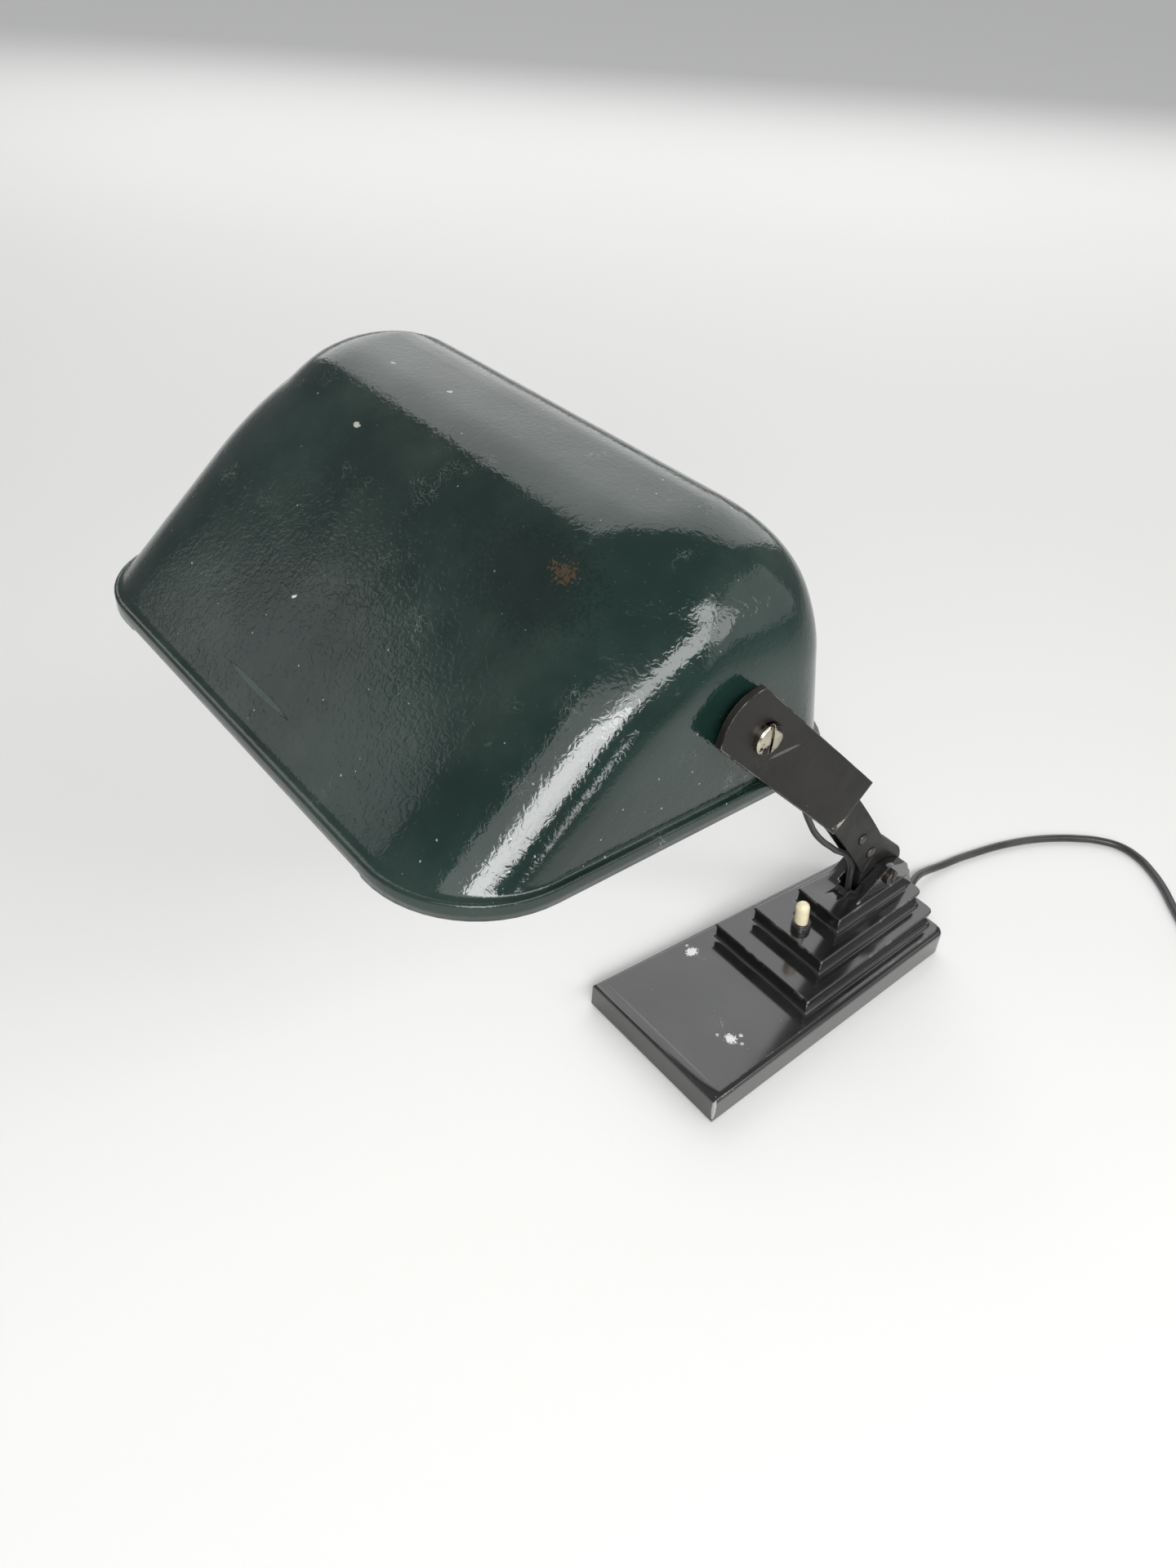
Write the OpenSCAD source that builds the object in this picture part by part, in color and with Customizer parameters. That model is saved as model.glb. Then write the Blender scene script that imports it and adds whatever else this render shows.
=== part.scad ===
// Desk lamp with a pressed loaf-shaped shade on a bent-strip yoke, a curved
// channel arm and a stepped cast base.  Millimetres, +Z up, the front is -Y.
// The origin is the centre of the base's footprint, on the table.

/* [Base casting] */
// Length of the base, front to back
base_len = 200; // [180:1:230]
// Width of the base at its front edge
base_front_w = 101; // [92:1:120]
// Width of the base at its back edge
base_back_w = 81; // [74:1:90]
// Height of the lowest slab's top above the table
slab_top = 17.8; // [15:0.1:20]
// Height of each of the three steps
step_rise = 10.6; // [9:0.1:12]
// Length of the writing pad in front of the first step
pad_len = 81; // [76:1:88]
// Tread in front of the second step
tread_1 = 19.4; // [18:0.2:24]
// Tread in front of the third step
tread_2 = 23.6; // [22:0.2:30]
// Tread beside each step
side_tread = 9.3; // [8:0.1:9.6]
// Radius of the cove at the foot of each riser
cove_r = 3; // [2:0.5:4]
// Height of the small fillet band along the top of each riser
lip_h = 2; // [1.5:0.5:3]
// How far that band stands out
lip_out = 0.6; // [0.4:0.1:1]
// Reach of the shallow fall along the pad's front
nose_run = 5; // [2:0.5:8]
// Drop of that fall
nose_drop = 0.5; // [0.2:0.1:1]
// Rounding of the slab's top edge
slab_edge_r = 2.8; // [1:0.2:4]
// Tread behind each of the two lower steps
rear_tread = 3; // [2.5:0.1:4]
// Rounding of the two rear corners, seen from above
rear_r = 5; // [3:0.5:8]
// How far the felt stands below the casting
felt_proud = 1; // [0.5:0.25:1.25]
// How far the felt keeps in from the casting's edge
felt_inset = 4; // [2:1:8]
// Thickness of the steel plate that closes the hollow
plate_t = 1.2; // [0.8:0.1:2]

/* [Hinge] */
// Distance of the hinge axis from the back of the base
hinge_back = 32.3; // [30:0.1:35]
// Height of the hinge axis above the table
hinge_z = 58; // [56:0.5:62]
// Diameter of the hinge screw
hinge_d = 5; // [4:0.5:6]
// Rounding of the two ears over the hinge
ear_r = 8; // [7:0.5:9]
// Width of the slot between the ears
slot_w = 12.4; // [12:0.1:13.4]
// Reach of the slot in front of the hinge axis
slot_front = 21.5; // [20.5:0.5:23]
// Radius of the arm's round heel
heel_r = 17.5; // [16.5:0.5:18.5]
// Width of the groove that the flex runs down in front of the arm
groove_w = 8.4; // [7:0.2:10]
// Depth of that groove
groove_deep = 2.5; // [1.5:0.5:4]

/* [Arm] */
// Width of the arm channel, side to side
arm_w = 11; // [10:0.5:11.6]
// Depth of the arm channel
arm_depth = 22; // [20:0.5:24]
// Wall of the arm channel
arm_wall = 1.6; // [1.2:0.2:2]
// Radius of the arm's long bend, at its centreline
arm_bend_r = 920; // [850:10:1000]
// Steepness of the arm at the hinge, above the horizontal
arm_start = 56.6; // [55:0.1:59]
// Angle that the long bend turns through
arm_sweep = 19.8; // [19:0.1:21]

/* [Yoke] */
// Width of the yoke strip
strap_w = 21; // [19:1:24]
// Thickness of the yoke strip
strap_t = 2.2; // [1.6:0.2:3]
// Distance from the cross strip to the tilt axis
yoke_leg = 70; // [66:1:76]
// Steepness of the yoke's legs above the horizontal
yoke_angle = 45; // [40:1:50]
// How far a leg runs on past the tilt axis
tip_len = 19; // [16:1:21]
// Distance from the tilt axis to the leg's shallow bend
bend_at = 13; // [11:1:16]
// How far a leg leans out below that bend
leg_lean = 1.8; // [0:0.2:3]
// Diameter of the tilt screws
tilt_d = 5; // [4:0.5:6]
// Diameter of a tilt screw's slotted head
tilt_head_d = 10.4; // [9:0.1:11]
// Gap between the shade's rim and the yoke
yoke_gap = 1.5; // [1:0.5:3]

/* [Shade] */
// Length of the shade over its rim
shade_len = 236; // [220:1:250]
// Depth of the shade's body at the rim
shade_depth = 149.3; // [144:0.1:154]
// Sheet thickness of the shade
sheet_t = 1; // [0.8:0.1:1.4]
// Width of the flat flange round the mouth
flange_w = 2.4; // [2:0.1:4]
// Depth of the turned-down skirt
skirt_h = 5.5; // [5:0.5:8]
// Depth of the skirt where it is trimmed along the front
skirt_front_h = 4.5; // [3:0.25:5]
// Left end of that trimmed stretch, from the middle
trim_left = 73; // [60:1:78]
// Right end of that trimmed stretch, from the middle
trim_right = 79; // [60:1:80]
// Height of the tilt axis above the flange
tilt_up = 23.3; // [21:0.1:25]
// Distance of the tilt axis behind the shade's front
tilt_back = 104.5; // [100:0.5:108]
// Radius of the crease between front and top
crease_r = 37.5; // [28:0.5:40]
// Radius of the ridge between top and back
ridge_r = 27.5; // [22:0.5:30]
// Corner radius at the front of the mouth
front_corner_r = 35.5; // [30:0.5:40]
// Corner radius at the back of the mouth
back_corner_r = 22; // [16:1:28]
// Rounding where the top meets the two ends
end_r = 40; // [34:1:48]

/* [Lampholder] */
// Diameter of the lampholder body
holder_d = 36; // [32:1:38]
// Length of the lampholder body
holder_len = 44; // [40:1:48]
// Diameter of the tubular bulb
bulb_d = 30; // [26:1:36]
// Length of the bulb's glass
bulb_len = 98; // [90:1:104]
// Height of the bulb's axis above the tilt axis
bulb_up = 9; // [6:1:12]

/* [Switch] */
// Diameter of the push button
button_d = 8; // [7:0.5:9]
// How far the button stands above its collar
button_up = 14.4; // [11:0.1:15]
// Travel of the push button
button_travel = 3; // [2:0.5:4]

/* [Flex and cord] */
// Diameter of the lamp flex
flex_d = 3.6; // [3.4:0.2:4.4]
// Diameter of the mains cord
cord_d = 5; // [4.6:0.1:5.4]

/* [Hidden] */
$fn = 48;
eps = 0.01;
big = 400;
run_fit = 0.05;

// Places that follow from the sizes above
back_y = base_len / 2;
front_y = -base_len / 2;
taper = atan((base_front_w - base_back_w) / 2 / base_len);
step_y = [front_y, front_y + pad_len, front_y + pad_len + tread_1, front_y + pad_len + tread_1 + tread_2];
step_z = [slab_top, slab_top + step_rise, slab_top + 2 * step_rise, slab_top + 3 * step_rise];
hinge_y = back_y - hinge_back;
slot_floor = hinge_z - heel_r - 1;
arm_end = [hinge_y + arm_bend_r * (cos(90 - arm_start + arm_sweep) - cos(90 - arm_start)),
           hinge_z + arm_bend_r * (sin(90 - arm_start + arm_sweep) - sin(90 - arm_start))];
leg_dir = [-cos(yoke_angle), sin(yoke_angle)];
tilt_pos = arm_end + yoke_leg * leg_dir;
tilt_y = tilt_pos[0];
tilt_z = tilt_pos[1];
flange_z = tilt_z - tilt_up;
function half_w(y) = base_front_w / 2 - tan(taper) * (y - front_y);
ear_half = half_w(hinge_y + 18) - 3 * side_tread - 0.3;

// A section drawn in X and Y becomes one in Y and Z, pushed out along X
module yz(w) rotate([90, 0, 90]) linear_extrude(height = w, center = true) children();
module along_x(d, len) rotate([0, 90, 0]) cylinder(d = d, h = len, center = true);
module along_y(d, len) rotate([90, 0, 0]) cylinder(d = d, h = len, center = true);
module both_sides() { children(); mirror([1, 0, 0]) children(); }
function arc(c, r, a0, a1, n) = [for (i = [0:n]) c
    + r * [cos(a0 + (a1 - a0) * i / n), sin(a0 + (a1 - a0) * i / n)]];

// A domed head standing on the XY plane
module dome(d, h) rotate_extrude()
    polygon(concat([[0, 0], [d / 2, 0]], [for (a = [0:18:90]) [d / 2 * cos(a),
        h / 4 + 0.75 * h * sin(a)]]));

/* ---- base ---- */
casting_z = felt_proud;
hollow_half = 27;
hollow_front = step_y[1] + 8;
hollow_back = back_y - 8;
plate_lap = 5;
plate_screw_d = 3;
slab_roof = 5;
slot_roof = 7;
switch_y = (step_y[2] + step_y[3]) / 2 - 1;
switch_hole_d = button_d + 1.8;
switch_roof = 4;
cord_hole_z = 9;
cord_hole_d = 9;
flex_hole_d = flex_d + 1.6;
flex_hole_y = hinge_y - slot_front + flex_hole_d / 2 + 0.4;

// Half outline of the steps: d is the way in from the edge, edge and cove the roundings' reach,
// fall the reach of the slab's shallow fall, each row [way in, height]
function stair(d, edge, cove, fall) = concat(
    [[0, casting_z]],
    [for (a = [180:-18:90]) [edge + edge * cos(a), slab_top - nose_drop - slab_edge_r * (1 - sin(a))]],
    [[edge + fall, slab_top]],
    [for (i = [1:3]) each concat(
        [for (a = [-90:18:0]) [d[i] + lip_out - cove + cove * cos(a),
            step_z[i - 1] + cove_r + cove_r * sin(a)]],
        [[d[i] + lip_out, step_z[i] - lip_h], [d[i], step_z[i] - lip_h + 0.3],
         [d[i], step_z[i] - 0.5], [d[i] + 0.5, step_z[i]]])]);
side_stair = stair([0, side_tread, 2 * side_tread, 3 * side_tread], slab_edge_r, cove_r, 0.5);
front_stair = stair([0, pad_len, pad_len + tread_1, pad_len + tread_1 + tread_2],
    slab_edge_r, cove_r, nose_run);
rear_stair = stair([0, rear_tread, 2 * rear_tread, 3 * rear_tread - 1], 1.2, 0.9, 0.3);

// One level of the stepped block, seen from above: two front corners and two rounded rear ones
function level(k) = let (z = side_stair[k][1], d = side_stair[k][0] / cos(taper),
    yf = front_y + front_stair[k][0],
        yr = back_y - rear_stair[k][0] - rear_r, xr = half_w(yr) - d - rear_r) concat(
    [[d - half_w(yf), yf, z], [half_w(yf) - d, yf, z]],
    [for (a = [0:30:90]) [xr + rear_r * cos(a), yr + rear_r * sin(a), z]],
    [for (a = [90:30:180]) [-xr + rear_r * cos(a), yr + rear_r * sin(a), z]]);

module stepped_block() {
    rows = [for (k = [0:len(side_stair) - 1]) level(k)];
    n = len(rows[0]);
    m = len(rows);
    polyhedron(points = [for (r = rows) each r], convexity = 6, faces = concat(
        [[for (i = [0:n - 1]) i], [for (i = [n - 1:-1:0]) (m - 1) * n + i]],
        [for (j = [0:m - 2], i = [0:n - 1]) each let (a = j * n, k = (i + 1) % n)
            [[a + i, a + n + i, a + n + k], [a + i, a + n + k, a + k]]]));
}

// The two ears, as one outline seen from the side
module ear_outline() {
    hull() {
        translate([hinge_y, hinge_z]) circle(r = ear_r);
        translate([hinge_y + 11.5, hinge_z - 1]) circle(r = 5);
        translate([hinge_y - 26.9, slot_floor]) square([1, step_z[3] - slot_floor - 0.6]);
        translate([back_y - 2 * rear_tread - 3.8, step_z[2] - 0.6]) square([3, 1.2]);
    }
}

module slot_outline() translate([hinge_y - slot_front, slot_floor]) square([big / 4, big / 4]);

// A shallow groove down the front of the ears, a little below their slope
module groove_outline() {
    slope = 34.9;
    start = [hinge_y - 24.6, step_z[3] - groove_deep * 0.84];
    polygon([[hinge_y - 37, step_z[3] + 0.6], start, start + 40 * [cos(slope), sin(slope)],
             [hinge_y + 8.2, big], [hinge_y - 37, big]]);
}

module hollow_plan(grow) {
    translate([-hollow_half - grow, hollow_front - grow])
        square([2 * (hollow_half + grow), hollow_back - hollow_front + 2 * grow]);
}

module plate_screw_places() {
    for (x = [-1, 1], y = [hollow_front + 6, hollow_back - 6])
        translate([x * (hollow_half - 3.5), y, 0]) children();
}

module base_casting() color("#17191b") difference() {
    union() {
        stepped_block();
        yz(2 * ear_half) ear_outline();
    }
    yz(slot_w) slot_outline();
    yz(groove_w) groove_outline();
    // The hollow: a low part under the slab, a raised part under the steps, and a well for the switch
    difference() {
        translate([0, 0, casting_z - eps]) linear_extrude(height = slab_top - slab_roof - casting_z)
            hollow_plan(0);
        plate_screw_places() cylinder(d = 8, h = slab_top);
    }
    raised_half = half_w(back_y) - 3 * side_tread - 1.2;
    translate([-raised_half, step_y[2] + 4, casting_z])
        cube([2 * raised_half, hollow_back - step_y[2] - 7, slot_floor - slot_roof - casting_z]);
    translate([-raised_half, step_y[2] + 3, casting_z])
        cube([2 * raised_half, tread_2 - 4, step_z[2] - switch_roof - casting_z]);
    translate([0, 0, casting_z - eps]) linear_extrude(height = plate_t + 2 * eps)
        hollow_plan(plate_lap + 0.2);
    plate_screw_places() cylinder(d = plate_screw_d + 0.1, h = slab_top - slab_roof);
    translate([0, switch_y, 0]) cylinder(d = switch_hole_d, h = step_z[3]);
    translate([0, flex_hole_y, slot_floor - slot_roof - 1]) cylinder(d = flex_hole_d, h = slot_roof + 2);
    translate([0, back_y, cord_hole_z]) along_y(cord_hole_d, 20);
    translate([0, hinge_y, hinge_z]) along_x(hinge_d + 2 * run_fit, 4 * slot_w);
}

module base_plate() color("#8c8f91") difference() {
    translate([0, 0, casting_z]) linear_extrude(height = plate_t) hollow_plan(plate_lap);
    plate_screw_places() cylinder(d = plate_screw_d + 0.4, h = 10);
}

module base_plate_screws() color("#a9a9a4") plate_screw_places() {
    translate([0, 0, casting_z]) cylinder(d = plate_screw_d, h = 8);
    translate([0, 0, casting_z - 0.7]) cylinder(d = 5.6, h = 0.7);
}

module felt_pad() color("#2f4236") difference() {
    linear_extrude(height = felt_proud - 0.02) polygon([
        [-base_front_w / 2 + felt_inset, front_y + felt_inset],
            [base_front_w / 2 - felt_inset, front_y + felt_inset],
        [base_back_w / 2 - felt_inset, back_y - felt_inset],
            [-base_back_w / 2 + felt_inset, back_y - felt_inset]]);
    plate_screw_places() translate([0, 0, -1]) cylinder(d = 7, h = 5);
}

/* ---- switch ---- */
switch_top = step_z[2];
collar_h = 4.6;
thread_d = switch_hole_d - 0.2;
body_h = 14;

module switch_body() color("#2a2320") translate([0, switch_y, 0]) difference() {
    union() {
        translate([-7.5, -7.5, switch_top - switch_roof - body_h - 2]) cube([15, 15, body_h]);
        translate([0, 0, switch_top - switch_roof - 2 - eps])
            cylinder(d = thread_d, h = switch_roof + 2 + collar_h);
    }
    translate([0, 0, spring_foot]) cylinder(d = button_d + 0.2, h = big);
}

module switch_collar() color("#1b1b1c") translate([0, switch_y, switch_top]) difference() {
    cylinder(d1 = button_d + 3.6, d2 = button_d + 3, h = collar_h);
    translate([0, 0, -1]) cylinder(d = thread_d + 0.1, h = 10);
}

module switch_nut() color("#9a8a5c") translate([0, switch_y, switch_top - switch_roof - 1.9]) difference() {
    cylinder(d = 14, h = 1.8, $fn = 6);
    translate([0, 0, -1]) cylinder(d = thread_d + 0.1, h = 10);
}

button_z = switch_top - switch_roof - 4;
spring_foot = button_z - button_travel - 1;
module switch_button() color("#efe6c8") translate([0, switch_y, 0]) {
    cap_z = switch_top + collar_h + button_up - button_d / 2;
    translate([0, 0, button_z]) cylinder(d = button_d, h = cap_z - button_z);
    intersection() {
        translate([0, 0, cap_z]) sphere(d = button_d);
        translate([0, 0, cap_z]) cylinder(d = 2 * button_d, h = button_d);
    }
}

module switch_spring() color("#b7b7b0") translate([0, switch_y, spring_foot + 0.02]) difference() {
    cylinder(d = button_d - 1, h = button_z - spring_foot - 0.04);
    translate([0, 0, -1]) cylinder(d = button_d - 3, h = 20);
}

module terminal_block() color("#e8e2d2") translate([0, hinge_y - 14, casting_z + plate_t + 0.02])
    difference() {
    translate([-8, -9, 0]) cube([16, 18, 11]);
    for (x = [-4, 4]) {
        translate([x, 0, 5.5]) along_y(3.4, 30);
        translate([x, 0, 4]) cylinder(d = 2.6, h = 10);
    }
}

/* ---- hinge ---- */
module at_hinge() translate([0, hinge_y, hinge_z]) children();

module hinge_screw() color("#6f6a60") at_hinge() difference() {
    union() {
        along_x(hinge_d, 2 * ear_half + 10);
        translate([ear_half + 1.2, 0, 0]) along_x(2 * hinge_d - 0.6, 2.4);
    }
    translate([ear_half + 2.4, 0, 0]) cube([1.6, 1.2, 3 * hinge_d], center = true);
    translate([ear_half + 12.4, 0, 0]) cube([20, 20, 20], center = true);
}

module hinge_washers() color("#8a8880") both_sides() at_hinge()
    translate([(arm_w + slot_w) / 4, 0, 0]) difference() {
    along_x(14, (slot_w - arm_w) / 2 - 0.06);
    along_x(hinge_d + 0.3, 10);
}

module hinge_bush() color("#a58d4f") at_hinge() difference() {
    along_x(hinge_d + 3, arm_w - 0.1);
    along_x(hinge_d + 2 * run_fit, 2 * slot_w);
}

module hinge_nut() color("#6f6a60") at_hinge() translate([-ear_half - 2.1, 0, 0]) difference() {
    rotate([0, 90, 0]) cylinder(d = 2 * hinge_d, h = 4, center = true, $fn = 6);
    along_x(hinge_d + 0.1, 10);
}

/* ---- arm ---- */
bend_centre = [hinge_y, hinge_z] - arm_bend_r * [cos(90 - arm_start), sin(90 - arm_start)];
per_mm = 180 / PI / arm_bend_r;
foot_t = 2.4;
channel_from = 9;
// Sweeps a section along the arm's bend, from one run along it to another; section x is the way
// out of the bend
module along_arm(s0, s1)
    translate([0, bend_centre[0], bend_centre[1]]) rotate([90, 0, 90])
        rotate([0, 0, 90 - arm_start + s0 * per_mm])
            rotate_extrude(angle = (s1 - s0) * per_mm, $fn = 360) translate([arm_bend_r, 0]) children();
function arm_at(s, out) = bend_centre + (arm_bend_r + out)
    * [cos(90 - arm_start + s * per_mm), sin(90 - arm_start + s * per_mm)];
arm_len = arm_sweep / per_mm;

module at_arm(s, out = 0) translate([0, arm_at(s, out)[0], arm_at(s, out)[1]])
    rotate([90 - arm_start + s * per_mm, 0, 0]) children();

// The yoke's own frame: X across, Y up the legs, Z across the strip
module yoke_frame() translate([0, arm_end[0], arm_end[1]]) rotate([180 - yoke_angle, 0, 0]) children();

module arm_channel() color("#38342f") difference() {
    along_arm(channel_from, arm_len + 6) difference() {
        square([arm_depth, arm_w], center = true);
        translate([-arm_wall, 0]) square([arm_depth, arm_w - 2 * arm_wall], center = true);
    }
    // Trimmed where the foot plate is welded on
    yoke_frame() translate([-big / 2, -strap_t / 2 - foot_t, -big / 2]) cube(big);
    at_hinge() along_x(2 * heel_r + 0.3, 2 * arm_w);
    for (s = rivet_runs) at_arm(s) along_x(rivet_d + 0.1, 2 * arm_w);
}

rivet_d = 4;
rivet_runs = [24, 43];
knuckle_to = rivet_runs[1] + 17;
module arm_knuckle() color("#332f2b") difference() {
    union() {
        at_hinge() along_x(2 * heel_r, arm_w);
        along_arm(channel_from, knuckle_to)
            translate([-arm_wall / 2 + 3.5, 0])
                square([arm_depth - arm_wall - 7, arm_w - 2 * arm_wall - 0.1], center = true);
    }
    at_hinge() along_x(hinge_d + 3.1, 2 * arm_w);
    for (s = rivet_runs) at_arm(s) along_x(rivet_d + 0.1, 2 * arm_w);
}

module arm_rivets() color("#57524b") for (s = rivet_runs) at_arm(s) {
    along_x(rivet_d, arm_w);
    both_sides() translate([arm_w / 2, 0, 0]) rotate([0, 90, 0]) dome(7, 1.5);
}

foot_screw_x = 15;
foot_half = 22;
module foot_screw_places() both_sides() yoke_frame() translate([foot_screw_x, 0, 0]) children();

module arm_foot() color("#38342f") difference() {
    yoke_frame() translate([0, -strap_t / 2 - foot_t / 2 - 0.01, 0])
        cube([2 * foot_half, foot_t, strap_w - 2], center = true);
    foot_screw_places() along_y(4.3, 20);
}

module foot_screws() color("#4b4741") foot_screw_places() {
    translate([0, strap_t / 2 - 5, 0]) along_y(4, 10);
    translate([0, strap_t / 2, 0]) rotate([-90, 0, 0]) dome(7.6, 2.2);
}

module foot_nuts() color("#4b4741") foot_screw_places() translate([0, -strap_t / 2 - foot_t - 1.7, 0])
    difference() {
    rotate([90, 0, 0]) cylinder(d = 8, h = 3.2, center = true, $fn = 6);
    along_y(4.1, 10);
}

/* ---- yoke ---- */
leg_in = shade_len / 2 + yoke_gap;
tip_r = 15;
corner_out_r = 2 * strap_t;

// The same points on the other side, in the opposite order
function flip(p) = [for (i = [len(p) - 1:-1:0]) [-p[i][0], p[i][1]]];

module yoke_profile() {
    top = yoke_leg + tip_len;
    kink = yoke_leg - bend_at;
    corner = [leg_in + leg_lean + strap_t - corner_out_r, corner_out_r - strap_t / 2];
    outer = concat([[leg_in + strap_t, top], [leg_in + strap_t, kink]],
        arc(corner, corner_out_r, 0, -90, 5));
    inner = concat(arc(corner, corner_out_r - strap_t, -90, 0, 5), [[leg_in, kink], [leg_in, top]]);
    polygon(concat(outer, flip(outer), flip(inner), inner));
}

module yoke_strap() color("#3d3935") difference() {
    intersection() {
        yoke_frame() linear_extrude(height = strap_w, center = true) yoke_profile();
        // Rounds the two tips
        yoke_frame() rotate([90, 0, 90]) linear_extrude(height = big, center = true) union() {
            translate([-strap_t, -strap_w]) square([yoke_leg + strap_t, 2 * strap_w]);
            translate([yoke_leg + tip_len - tip_r, 0]) circle(r = tip_r);
        }
    }
    foot_screw_places() along_y(4.3, 20);
    translate([0, tilt_y, tilt_z]) along_x(tilt_d + 2 * run_fit, big);
}

/* ---- shade ---- */
// The body's profile, as four corners: mouth front, crease, ridge and mouth back; y from the
// tilt axis, z from the flange
crease_at = [-tilt_back + 83.1, 74.1];
ridge_at = [-tilt_back + 133.8, 76.5];
mouth_front = [-tilt_back, 0];
mouth_back = [shade_depth - tilt_back, 0];
function unit(v) = v / norm(v);
function left_of(v) = [-v[1], v[0]];
// A corner of the profile moved in by t from both of its sides: also the centre of a round of
// radius t there
function mitre(a, b, c, t) = let (n = unit(-left_of(b - a)), m = unit(-left_of(c - b)))
    b + t * (n + m) / (1 + n * m);
function slide(a, b, t) = a + [t / sin(atan2((b - a)[1], (b - a)[0])), 0];
function profile(t) = let (a = mouth_front, b = crease_at, c = ridge_at, d = mouth_back)
    [slide(a, b, t), mitre(a, b, c, t), mitre(b, c, d, t), slide(d, c, -t)];
function foot_on(a, b, p) = a + unit(b - a) * ((p - a) * unit(b - a));
function line_y(a, b, z) = a[0] + (b[0] - a[0]) * (z - a[1]) / (b[1] - a[1]);
function side_y(z, q, r1, r2) = let (k1 = mitre(q[0], q[1], q[2], r1), k2 = mitre(q[1], q[2], q[3], r2))
    z <= foot_on(q[0], q[1], k1)[1] ? line_y(q[0], q[1], z)
    : z <= foot_on(q[1], q[2], k1)[1] ? k1[0] - sqrt(max(0, r1 * r1 - pow(z - k1[1], 2)))
    : z <= foot_on(q[1], q[2], k2)[1] ? line_y(q[1], q[2], z)
    : k2[0] - sqrt(max(0, r2 * r2 - pow(z - k2[1], 2)));
function back_y_at(z, q, r2) = let (k2 = mitre(q[1], q[2], q[3], r2))
    z <= foot_on(q[2], q[3], k2)[1] ? line_y(q[3], q[2], z) : k2[0]
        + sqrt(max(0, r2 * r2 - pow(z - k2[1], 2)));
function top_z(t) = mitre(crease_at, ridge_at, mouth_back, ridge_r)[1] + ridge_r - t;

corner_n = 8;
// One closed outline at height z: a front corner, the trimmed stretch at z_front, then the
// other three corners
function ring(x, f, b, rf, rb, z, z_front) = let (r1 = min(rf, (b - f) / 2, x),
    r2 = min(rb, (b - f) / 2, x),
        s1 = min(trim_left, x - r1), s2 = min(trim_right, x - r1)) concat(
    corner([-x + r1, f + r1], r1, 180, z), [[-s1, f, z], [-s1 + 1.2, f, z_front], [0, f, z_front],
        [s2 - 1.2, f, z_front], [s2, f, z]], corner([x - r1, f + r1], r1, 270, z),
    corner([x - r2, b - r2], r2, 0, z), corner([-x + r2, b - r2], r2, 90, z));
function corner(c, r, a0, z) = [for (i = [0:corner_n]) let (a = a0 + 90 * i / corner_n)
    [c[0] + r * cos(a), c[1] + r * sin(a), z]];

body_rows = 15;
top_gap = 0.12;
// One row of the body's skin, t in from the outside, at a share k of its height
function body_ring(t, k) = let (q = profile(t), h = top_z(t) - top_gap, z = h * sin(90 * k),
        over = max(0, z - (top_z(t) - end_r + t)),
        x = shade_len / 2 - flange_w - end_r + sqrt(max(0, pow(end_r - t, 2) - over * over)))
    ring(x, side_y(z, q, crease_r - t, ridge_r - t), back_y_at(z, q, ridge_r - t),
         front_corner_r - t, back_corner_r - t, z, z);
function rim_ring(grow, z, z_front) = let (x = shade_len / 2 - flange_w + grow)
    ring(x, mouth_front[0] - grow, mouth_back[0] + grow, front_corner_r + grow, back_corner_r + grow,
        z, z_front);

flange_cove = 1.2;
function shade_rings() = concat(
    [rim_ring(flange_w, -skirt_h, -skirt_front_h), rim_ring(flange_w, -0.8, -0.8),
        rim_ring(flange_w - 0.8, 0, 0)],
    [rim_ring(flange_cove * 0.6, 0, 0)],
    [for (i = [1:body_rows]) body_ring(0, (i == 1 ? 0.25 : i) / body_rows)],
    [for (i = [body_rows:-1:1]) body_ring(sheet_t, (i == 1 ? 0.25 : i) / body_rows)],
    [rim_ring(flange_w - sheet_t, -sheet_t, -sheet_t),
        rim_ring(flange_w - sheet_t, -skirt_h, -skirt_front_h)]);

// Joins closed outlines into a skin whose first and last outlines meet, with a lid on each side
// of the break
module skin(rings, lid) {
    n = len(rings[0]);
    m = len(rings);
    polyhedron(points = [for (r = rings) each r], convexity = 6, faces = concat(
        [for (j = [0:m - 1], i = [0:n - 1]) if (j != lid) each let (a = j * n, b = ((j + 1) % m) * n,
            k = (i + 1) % n)
            [[a + i, b + i, b + k], [a + i, b + k, a + k]]],
        [[for (i = [n - 1:-1:0]) lid * n + i], [for (i = [0:n - 1]) (lid + 1) * n + i]]));
}

module shade_shell() color("#1f3a34") difference() {
    translate([0, tilt_y, flange_z]) skin(shade_rings(), 3 + body_rows);
    translate([0, tilt_y, tilt_z]) along_x(tilt_d + 0.4, big);
    bracket_rivet_places() along_y(bracket_rivet_d + 0.1, 20);
}

/* ---- tilt screws ---- */
cap_x = shade_len / 2 - flange_w;
plate_r = 9;
tilt_plate_t = 1.6;
module at_tilt() both_sides() translate([0, tilt_y, tilt_z]) children();

module tilt_screws() color("#8f7f5a") at_tilt() difference() {
    union() {
        translate([(cap_x - 9 + leg_in + strap_t) / 2, 0, 0]) along_x(tilt_d, leg_in + strap_t - cap_x + 9);
        translate([leg_in + strap_t, 0, 0]) rotate([0, 90, 0]) rotate_extrude() polygon([[0, 0],
            [tilt_head_d / 2, 0], [tilt_head_d / 2, 1.7], [tilt_head_d / 2 - 0.5, 2.2],
                [tilt_head_d / 4, 2.5], [0, 2.6]]);
    }
    translate([leg_in + strap_t + 2.4, 0, 0]) cube([2, 1.3, 3 * tilt_d], center = true);
}

module tilt_washers() color("#23211f") at_tilt() translate([(cap_x + leg_in) / 2, 0, 0]) difference() {
    along_x(15, leg_in - cap_x - 0.04);
    along_x(tilt_d + 0.3, 20);
}

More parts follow.
